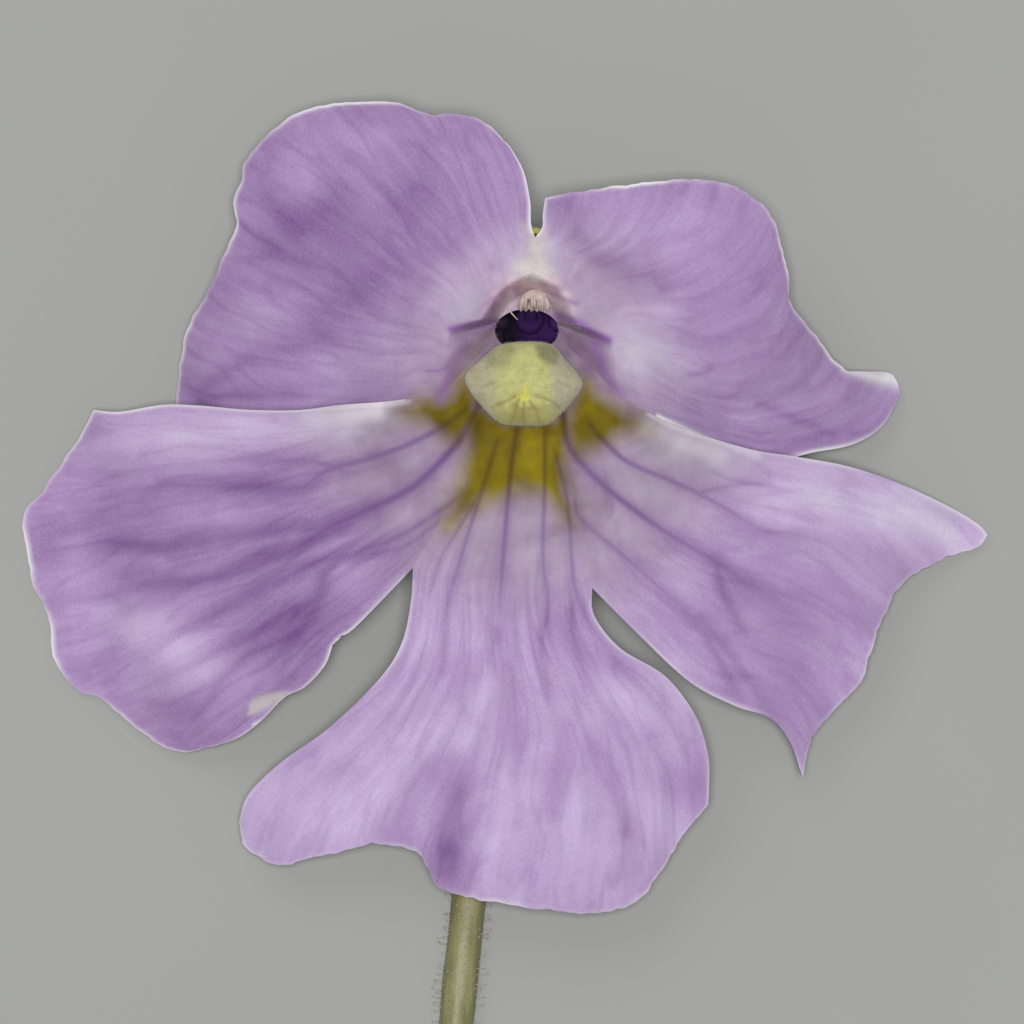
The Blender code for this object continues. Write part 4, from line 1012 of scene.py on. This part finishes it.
petalBack = fleshMaterial("paleSpurSkin", spur["stops"], 1.2, {
    "Roughness": 0.6, "Specular IOR Level": 0.3, "Sheen Weight": 0.1})
place(throatTube(throatMaterial()), "petal", "corolla")
spurSkin = pressed(rod(spur["path"], spur["radii"], 40, 90)[0])
place(ringPiece("spurTube", spurSkin, petalBack), "petal", "corolla")
print("throat and spur made")


# The stalk lies along the surface and bends up into the calyx. Its path and radii are the solids' own.
stalk = {
    "path": [(-5.6, -58.0, 0.69), (-4.6, -46.0, 0.62), (-3.4, -33.0, 0.59), (-2.1, -20.0, 0.57),
             (-0.9, -9.0, 0.54), (-0.3, -3.4, 0.51), (0.0, -1.2, 0.7), (0.1, 0.1, 1.27), (0.1, 0.45, 1.98),
             (0.1, 0.5, 2.4)],
    "radii": [0.74, 0.67, 0.64, 0.62, 0.59, 0.56, 0.55, 0.56, 0.59, 0.62],
    "sides": 36,
    "rings": 420,
    "bareEnds": (4, 30),             # rings without hairs at the cut and inside the calyx
    "ribs": (5, 0.02),               # number and height of the faint ridges along it
    "uneven": (0.012, 2.2),          # height and length of its swells
    "stops": [(0.3, "#6F6D45"), (0.5, "#838157"), (0.72, "#95926A")],
}
calyx = {
    "cup": (0.1, 0.45),
    "cupHeights": [2.3, 2.36, 2.5, 2.8, 3.1, 3.16, 3.14],
    "cupRadii": [0.3, 0.66, 0.86, 1.12, 1.34, 1.2, 0.2],
    "sepalStart": (0.8, 2.92),       # distance from the cup's middle, and height
    "sepals": [(87, 2.85, 0.62), (30, 2.6, 0.55), (146, 2.6, 0.55), (-26, 2.3, 0.5), (206, 2.3, 0.5)],
    "rise": 0.85,
    "keel": 0.12,
    "thickness": 0.3,
    "hairyRings": (4, 26),           # of the cup's 40
    "hairyRows": 28,                 # of a sepal's 41, from its root
    # painted light: the sepals are paler than the calyx's own yellow-green, for the tip that shows in shade
    # between the upper lobes
    "stops": [(0.3, "#BEC352"), (0.5, "#CDD168"), (0.72, "#D9DC80")],
}


def ribbed(skin, outward):
    # shallow ridges along the stem: the radius swells by a cosine of the angle and a slow ripple, and
    # the underside stays flat
    count, high = stalk["ribs"]
    turn = np.linspace(0, 2 * math.pi, skin.shape[1], endpoint=False)
    skin = skin + outward * (high * np.cos(count * turn))[None, :, None]
    uneven, length = stalk["uneven"]
    swell = uneven * ripple(4 * (skin[..., 0] + skin[..., 2]), skin[..., 1], length, 41)
    return pressed(skin + outward * swell[..., None])


def sepalGrid(direction, length, halfWidth):
    # A pointed blade: its middle leans out by a sine and up by t to the 1.9, and its half width is
    # 0.75 + 0.9 t - 1.55 t cubed of the widest. The sides stand up a little beside the middle.
    t = np.linspace(0, 1, 41)[:, None]
    w = np.linspace(-1, 1, 13)[None, :]
    turn = math.radians(direction)
    out = np.array([math.cos(turn), math.sin(turn), 0.0])
    aside = np.array([-math.sin(turn), math.cos(turn), 0.0])
    start, level = calyx["sepalStart"]
    reach = start + length * np.sin(0.5 * math.pi * t) ** 0.9
    spread = halfWidth * (0.75 + 0.9 * t - 1.55 * t**3) * w
    up = level + calyx["rise"] * length * t**1.9 + calyx["keel"] * w**2
    flat = np.array([*calyx["cup"], 0.0])
    return flat + reach[..., None] * out + spread[..., None] * aside + up[..., None] * np.array([0, 0, 1.0])


def sheetShell(front, thickness):
    # A closed leaf from its front: the back stands behind it, thinner towards the borders by a rounded
    # profile, and a narrow band closes the two along the border.
    rows, columns = front.shape[:2]
    normal = gridNormal(front)
    r = np.linspace(-1, 1, rows)[:, None]
    c = np.linspace(-1, 1, columns)[None, :]
    full = np.clip((1 - r**8) * (1 - c**4), 0, 1) ** 0.6
    back = front - normal * (thickness * (0.25 + 0.75 * full))[..., None]
    faces = shellFaces(numbered(rows, columns), numbered(rows, columns, rows * columns))
    return np.concatenate([front.reshape(-1, 3), back.reshape(-1, 3)]), faces, normal


def calyxPieces(finish, hairFinish):
    # the small cup under the tube and its five sepals, each with glandular hairs outside
    path = [(*calyx["cup"], z) for z in calyx["cupHeights"]]
    skin, outward = rod(path, calyx["cupRadii"], 48, 40)
    place(ringPiece("calyxCup", skin, finish), "calyx", "calyx")
    hairy, rows = slice(*calyx["hairyRings"]), calyx["hairyRows"]
    spots, ways = [skin[hairy].reshape(-1, 3)], [outward[hairy].reshape(-1, 3)]
    for index, shape in enumerate(calyx["sepals"]):
        front = sepalGrid(*shape)
        points, faces, normal = sheetShell(front, calyx["thickness"])
        place(makeMesh(f"sepal{index + 1}", points, faces, finish), "calyx", "calyx")
        back = points[len(points) // 2:].reshape(front.shape)
        spots.append(back[:rows].reshape(-1, 3))
        ways.append(-normal[:rows].reshape(-1, 3))
    place(hairMesh("calyxHairs", np.concatenate(spots), np.concatenate(ways), hairFinish), "calyx")


def stalkPieces(finish, hairFinish):
    # the stem, with hairs that stand off it on all sides but its underside
    skin, outward = rod(stalk["path"], stalk["radii"], stalk["sides"], stalk["rings"])
    skin = ribbed(skin, outward)
    place(ringPiece("hairyStalk", skin, finish), "stalk", "flower_stalk")
    free = (skin[..., 2] > 0.12) & (outward[..., 2] > -0.75)
    cut, hidden = stalk["bareEnds"]
    free[:cut] = False
    free[-hidden:] = False
    place(hairMesh("stalkHairs", skin[free], outward[free], hairFinish), "stalk")


# Glandular hair: a clear stalk of one row of cells with a drop of sticky resin on top, which glints.
gland = finishMaterial(newMaterial("clearGlandHair")[0], {
    "Base Color": toLinear("#C4C1A0"), "Roughness": 0.3, "Transmission Weight": 0.15, "IOR": 1.4,
    "Specular IOR Level": 0.5})
# Young plant skin: green cells under a thin wax, streaked along its length, with a satin light on it.
green = {"shine": {"Roughness": 0.48, "Specular IOR Level": 0.4}, "rough": 0.6, "grain": (0.1, 0.3),
         "stretch": (1.0, 0.12, 1.0)}
stalkSkin = fleshMaterial("oliveStalkSkin", stalk["stops"], 0.35, **green)
sepalSkin = fleshMaterial("yellowGreenSepalSkin", calyx["stops"], 0.4, **green)
stalkPieces(stalkSkin, gland)
calyxPieces(sepalSkin, gland)
print("stalk and calyx made")


# The palate: its outline from above about its middle, and its section as share of the outline, height
# against the rim and shift up the throat. Its paints are pairs of a darker and a paler shade.
palate = {
    "centre": (-0.1, -1.35),
    "outline": [(0.0, 1.46), (-0.55, 1.42), (-0.98, 1.3), (-1.35, 1.0), (-1.85, 0.55), (-2.14, 0.25),
                (-2.0, -0.25), (-1.65, -0.72), (-1.1, -1.3), (-0.7, -1.52), (0.0, -1.56), (0.75, -1.54),
                (1.2, -1.25), (1.78, -0.65), (2.1, -0.1), (1.95, 0.3), (1.45, 0.85), (1.1, 1.3),
                (0.55, 1.45)],
    "section": [(0.03, 0.8, 0.0), (0.35, 0.76, 0.0), (0.68, 0.6, 0.0), (0.9, 0.33, 0.0), (1.0, 0.05, 0.0),
                (0.95, -0.25, 0.02), (0.82, -0.75, 0.28), (0.68, -1.3, 0.42), (0.6, -1.85, 0.45),
                (0.3, -1.95, 0.45)],
    "rings": 96,
    "columns": 160,
    "cheeks": (0.1, 1.15, (0.55, 0.6)),      # height, distance from the middle, and radii
    "foldDepth": 0.09,
    # the grey-green corners are a painted shadow at the pad's upper corners, where its flesh is also thin
    "corners": [(0.6, 0.22, [(-1.2, 0.1), (-0.5, 0.1), (-0.45, -0.35), (-0.7, -0.8), (-1.2, -0.8),
                             (-1.45, -0.4)]),
                (1.0, 0.16, [(0.3, 0.0), (1.0, 0.05), (1.15, -0.35), (1.1, -0.7), (0.7, -0.65),
                             (0.4, -0.35)])],     # strength, softness and outline of the thin corners
    "folds": [((0.06, 0.05), (0.6, 0.5), [(-0.3, -2.0), (-0.55, -2.85)]),
              ((0.06, 0.05), (0.6, 0.4), [(-0.45, -1.9), (-0.85, -2.1), (-1.3, -2.25)]),
              ((0.06, 0.06), (0.6, 0.4), [(0.1, -2.05), (0.35, -2.45), (0.45, -2.85)]),
              ((0.07, 0.05), (0.6, 0.4), [(0.35, -1.85), (0.9, -2.05), (1.2, -2.3)]),
              ((0.05, 0.05), (0.7, 0.3), [(-0.1, -2.1), (-0.12, -2.5), (-0.1, -2.85)]),
              ((0.06, 0.06), (0.25, 0.4), [(-1.2, -1.35), (-1.6, -1.55)]),
              ((0.06, 0.06), (0.25, 0.4), [(1.1, -1.3), (1.5, -1.5)])],
    "star": (-0.1, -1.9),            # the lemon spot, and the rays that run from it
    "rays": [((0.05, 0.02), (1.0, 0.2), (-0.1, -2.25)), ((0.06, 0.02), (1.0, 0.2), (-0.6, -2.0)),
             ((0.06, 0.02), (1.0, 0.2), (0.35, -2.1)), ((0.06, 0.02), (1.0, 0.2), (-0.35, -2.2)),
             ((0.06, 0.02), (1.0, 0.2), (0.1, -2.2)), ((0.16, 0.04), (1.0, 0.3), (-0.05, -1.35))],
    "stops": [(0.3, "#ABA966"), (0.5, "#B7B674"), (0.7, "#C1C086")],
    "paints": {"side": ("#A0977F", "#B9B19B"), "foot": ("#938B4A", "#A69D5E"),
               "shadedCorner": ("#74734F", "#888762"), "star": ("#C6C33E", "#D0CD52"),
               "fold": ("#6E6428", "#867C3A")},
}


def palateGrid():
    # rings of the outline, scaled and raised by the smoothed section, with two cheeks and radial folds
    outline = smoothCurve([*palate["outline"], palate["outline"][0]], palate["columns"] + 1)[:-1]
    section = smoothCurve(palate["section"], palate["rings"])
    share, height, shift = section[:, 0:1], section[:, 1:2], section[:, 2:3]
    middleX, middleY = palate["centre"]
    x = middleX + share * outline[:, 0]
    y = middleY + share * outline[:, 1] + shift
    high, apart, (wide, tall) = palate["cheeks"]
    cheeks = high * bell(np.hypot((np.abs(x - middleX) - apart) / wide, (y - middleY) / tall))
    folds = strokes(np.stack([x, y], axis=-1).reshape(-1, 2), palate["folds"]).reshape(x.shape)
    relief = cheeks - palate["foldDepth"] * folds + 0.02 * ripple(x, y, 0.45, 51)
    return np.stack([x, y, faceHeight + height + relief * smoothStep(1.2 - share)], axis=-1)


def palatePiece(finish):
    # the pad, with its five paints worked out from above: pale sides, grey-green corners of painted
    # shadow where the flesh is also thin, the dark foot, the star of rays and the folds
    skin = palateGrid()
    spots = withPoles(skin)[:, :2]
    x, y = spots[:, 0] - palate["centre"][0], spots[:, 1]
    side = smoothStep((np.abs(x) - 0.65 - 0.1 * ripple(spots[:, 0], y, 0.6, 61)) / 0.7)
    shadedCorner = np.max([strength * patch(spots, outline, soft) for strength, soft, outline in palate["corners"]],
                    axis=0)
    foot = smoothStep((-2.0 - y + 0.12 * ripple(spots[:, 0], y, 0.5, 62)) / 0.35) * bell(x / 1.1)
    rays = [(widths, strengths, [palate["star"], tip]) for widths, strengths, tip in palate["rays"]]
    fields = {"side": side * (0.86 + 0.06 * np.sign(x)), "shadedCorner": shadedCorner * 0.9, "foot": foot,
              "star": strokes(spots, rays), "fold": strokes(spots, palate["folds"])}
    return ringPiece("plushPalate", skin, finish, fields), skin


def palateHairs(skin, finish):
    # short upright hairs all over the top, with a chance that makes them stand evenly over its rings
    area = np.linalg.norm(skin[..., :2] - np.array(palate["centre"]), axis=2)
    area[palate["rings"] * 5 // 9:] = 0
    chance = (area / area.sum()).reshape(-1)
    return hairMesh("palateHairs", skin.reshape(-1, 3), gridNormal(skin).reshape(-1, 3), finish, chance)


# The palate is dense with short clear hairs over pale yellow cells, so it looks like plush: cream where
# the hairs are thick, greenish yellow in the middle, and grey-green at the upper corners, a painted
# shadow where the flesh is also thin.
plush = fleshMaterial("plushPalate", palate["stops"], 0.5, {
    "Roughness": 0.7, "Specular IOR Level": 0.25, "Sheen Weight": 0.3, "Subsurface Weight": 0.15,
    "Subsurface Scale": 0.3 * mm}, rough=0.7, grain=(0.07, 0.4), paints=palate["paints"], relief=(0.6, 0.04))
palatePad, palateSkin = palatePiece(plush)
place(palatePad, "palate", "palate")
hairSkin = fleshMaterial("clearHairs", [(0.3, "#C4BFA8"), (0.7, "#D2CDBC")], 0.5, {
    "Roughness": 0.4, "Specular IOR Level": 0.3, "Sheen Weight": 0.1})
place(palateHairs(palateSkin, hairSkin), "palate")
print("palate made")


# The stigma's lip seen from above, from its arch down to its teeth, then the ovary and the stamens.
stigma = {
    "centre": (0.27, 1.42),
    "halfWidth": 0.58,
    "arch": 0.62,                    # from the centre up to the top of the arch
    "teeth": 6,
    "tooth": 0.17,
    "ridge": 0.035,
    "level": 6.5,
    "bulge": 0.3,
    "thickness": 0.16,
    "slots": [((0.05, 0.06), (0.9, 1.0), [(0.07, 1.62), (0.07, 1.25)]),
              ((0.04, 0.05), (0.7, 0.8), [(0.35, 1.62), (0.36, 1.35)])],
    "slotDepth": 0.1,
    "stops": [(0.3, "#A8938F"), (0.7, "#C9B8B2")],
    "slot": "#57503A",
}
# The ovary and the anthers are painted the dark purple of the shaded opening, not their own paler colour:
# painted shade, so they sink into the shade round them.
ovary = {
    "path": [(0.1, 0.95, 4.36), (0.1, 0.95, 4.45), (0.1, 0.95, 4.85), (0.12, 0.98, 5.2), (0.14, 1.05, 5.45),
             (0.2, 1.25, 5.9), (0.3, 1.5, 6.5)],
    "radii": [0.05, 0.33, 0.52, 0.42, 0.24, 0.2, 0.17],
    "stops": [(0.3, "#311549"), (0.7, "#442065")],
}
stamen = {
    "path": [(0.85, -0.25, 4.6), (1.15, 0.3, 4.65), (1.1, 0.62, 4.76), (1.07, 0.75, 4.81), (1.05, 0.92, 4.86),
             (1.02, 1.08, 4.9), (1.01, 1.17, 4.92)],
    "radii": [0.2, 0.2, 0.2, 0.33, 0.37, 0.28, 0.04],
    "middle": 0.1,                   # the two stand to both sides of this
    # painted shadow: the left anther is nearly black, as the left of the opening lies in deep shade
    "left": (-1, [(0.3, "#170B20"), (0.7, "#20102C")]),
    "right": (1, [(0.3, "#33164C"), (0.7, "#462266")]),
}


def stigmaMaterial():
    # The stigma's lip is moist, fleshy and pale with a rose tint, and gleams a little. Between its
    # ridges the olive tissue behind shows.
    made, tree = newMaterial("moistStigma")
    where = addNode(tree, "TexCoord").outputs["Object"]
    slot = addNode(tree, "Attribute", {"attribute_name": "slot"}).outputs["Fac"]
    clouds = addNode(tree, "TexNoise", None, {"Vector": where, "Scale": perMetre(0.25), "Detail": 3.0})
    pale = addNode(tree, "ValToRGB", {"stops": stigma["stops"]}, {"Fac": clouds})
    colour = addNode(tree, "MixRGB", None, {"Fac": slot, "Color1": pale, "Color2": toLinear(stigma["slot"])})
    bump = addNode(tree, "Bump", None, {"Strength": 0.5, "Distance": 0.03 * mm, "Height": clouds})
    return finishMaterial(made, {
        "Base Color": colour, "Roughness": 0.42, "Specular IOR Level": 0.4, "Normal": bump})


def stigmaLip(finish):
    # Across and down the lip: its top follows a half ellipse and its foot a row of pointed teeth. It
    # bulges towards the viewer by a sine and has a shallow ridge above each tooth.
    a = np.linspace(-1, 1, 97)[None, :]
    b = np.linspace(0, 1, 33)[:, None]
    middleX, middleY = stigma["centre"]
    saw = 1 - np.abs(2 * np.mod((a + 1) / 2 * stigma["teeth"], 1) - 1)
    top = middleY + stigma["arch"] * np.sqrt(np.clip(1 - a**2, 0.0, 1))
    foot = middleY - 0.04 - stigma["tooth"] * saw
    y = top + (foot - top) * b
    x = middleX + stigma["halfWidth"] * a * (1 + 0.04 * np.sin(math.pi * b))
    ridges = stigma["ridge"] * np.cos(math.pi * ((a + 1) * stigma["teeth"] + 1)) * smoothStep(b * 1.5)
    slots = strokes(np.stack([x, y], axis=-1).reshape(-1, 2), stigma["slots"]).reshape(x.shape)
    bulge = stigma["bulge"] * np.sin(math.pi * (0.2 + 0.62 * b)) * np.sqrt(np.clip(1 - 0.75 * a**2, 0, 1))
    z = stigma["level"] + bulge + ridges - stigma["slotDepth"] * slots
    points, faces, _ = sheetShell(np.stack([x, y, z], axis=-1), stigma["thickness"])
    return makeMesh("stigmaLip", points, faces, finish, {"slot": np.tile(slots.reshape(-1), 2)})


place(stigmaLip(stigmaMaterial()), "pistil", "pistil")
# matt, for the ovary and anthers painted in the opening's shade
dusky = {"Roughness": 0.8, "Specular IOR Level": 0.3}
ovarySkin = fleshMaterial("ovaryInPaintedShade", ovary["stops"], 0.4, dusky)
place(rodPiece("ovaryAndStyle", ovary["path"], ovary["radii"], 32, 60, ovarySkin), "pistil", "pistil")
for label in ("left", "right"):
    side, stops = stamen[label]
    antherSkin = fleshMaterial(label + "AntherInPaintedShade", stops, 0.3, dusky)
    path = [(stamen["middle"] + side * x, y, z) for x, y, z in stamen["path"]]
    piece = rodPiece("stamen" + label.capitalize(), path, stamen["radii"], 24, 44, antherSkin)
    place(piece, "stamen", "stamen_" + label)
print("stigma, ovary and stamens made")


# Hairs at the mouth, by the painted field that they stand on and the way they lean, and a pale strand
# that lies across the opening.
mouthHairs = {"hoodHairs": ("cream", (0.0, -0.4, 0.0)), "wallHairs": ("wall", (0.0, 0.0, 0.2))}
strand = {
    "path": [(-0.69, 1.36, 6.75), (-0.52, 1.13, 6.72), (-0.33, 0.93, 6.6)],
    "radii": [0.024, 0.022, 0.015],
}


def furOf(name, label, lean):
    # hairs on the petals where a painted field is strong: the chance is the field times the area round
    # each point
    areas = [np.linalg.norm(np.cross(np.gradient(sheet, axis=0), np.gradient(sheet, axis=1)), axis=2)
             for sheet in sheets.values()]
    spots = np.concatenate([sheet.reshape(-1, 3) for sheet in sheets.values()])
    ways = np.concatenate([normal.reshape(-1, 3) for normal in sheetNormals.values()])
    weights = np.concatenate([fields[label] * area.reshape(-1)
                              for fields, area in zip(painted.values(), areas)])
    return hairMesh(name, spots, ways, hairSkin, weights / weights.sum(), lean)


for name, (label, lean) in mouthHairs.items():
    place(furOf(name, label, lean), "petal")
place(rodPiece("paleStrand", strand["path"], strand["radii"], 8, 14, hairSkin), "petal")
print("hairs made")


studio = {
    "floorSize": 1.6,                # metres
    "dome": 0.2,
    "lamps": [("overheadLamp", 6.5, 0.14, (0.0, 0.02, 0.9)), ("windowSide", 1.0, 0.5, (-0.25, 0.45, 0.75))],
}


def matteFloor():
    # plain pale card: even, matt and very slightly mottled
    made, tree = newMaterial("matteCard")
    where = addNode(tree, "TexCoord").outputs["Object"]
    mottle = addNode(tree, "TexNoise", None, {"Vector": where, "Scale": perMetre(14.0), "Detail": 2.0})
    colour = addNode(tree, "ValToRGB", {"stops": [(0.3, "#9E9F9C"), (0.7, "#A0A19E")]}, {"Fac": mottle})
    return finishMaterial(made, {
        "Base Color": colour, "Roughness": 0.9, "Specular IOR Level": 0.1})


def layFloor():
    half = studio["floorSize"] / 2
    mesh = bpy.data.meshes.new("studioFloor")
    corners = [(-half, -half, 0), (half, -half, 0), (half, half, 0), (-half, half, 0)]
    mesh.from_pydata(corners, [], [(0, 1, 2, 3)])
    mesh.materials.append(matteFloor())
    floor = bpy.data.objects.new("studioFloor", mesh)
    bpy.context.scene.collection.objects.link(floor)


def lightStudio():
    # an even dome, a soft lamp almost straight above and a larger, weaker one beyond the upper petals
    world = bpy.data.worlds.new("studioDome")
    world.use_nodes = True
    background = world.node_tree.nodes["Background"]
    background.inputs["Color"].default_value = (1.0, 1.0, 1.0, 1.0)
    background.inputs["Strength"].default_value = studio["dome"]
    bpy.context.scene.world = world
    for name, power, size, spot in studio["lamps"]:
        lamp = bpy.data.lights.new(name, "AREA")
        lamp.energy = power
        lamp.size = size
        holder = bpy.data.objects.new(name, lamp)
        holder.location = spot
        holder.rotation_euler = (-holder.location).to_track_quat("-Z", "Y").to_euler()
        bpy.context.scene.collection.objects.link(holder)


def setCamera():
    # straight down over the flower's face, with the photograph's upright as +Y
    lens = bpy.data.cameras.new("throatView")
    lens.lens = view["lens"]
    lens.sensor_width = view["sensor"]
    lens.sensor_fit = "HORIZONTAL"
    lens.clip_start = 0.01
    lens.clip_end = 10.0
    holder = bpy.data.objects.new("throatView", lens)
    spot = (np.array([*view["over"], view["height"]]) + throat) * mm
    holder.location = spot
    bpy.context.scene.collection.objects.link(holder)
    bpy.context.scene.camera = holder


layFloor()
lightStudio()
setCamera()
bpy.context.scene.view_settings.view_transform = "Standard"
print("floor, lights and camera placed")
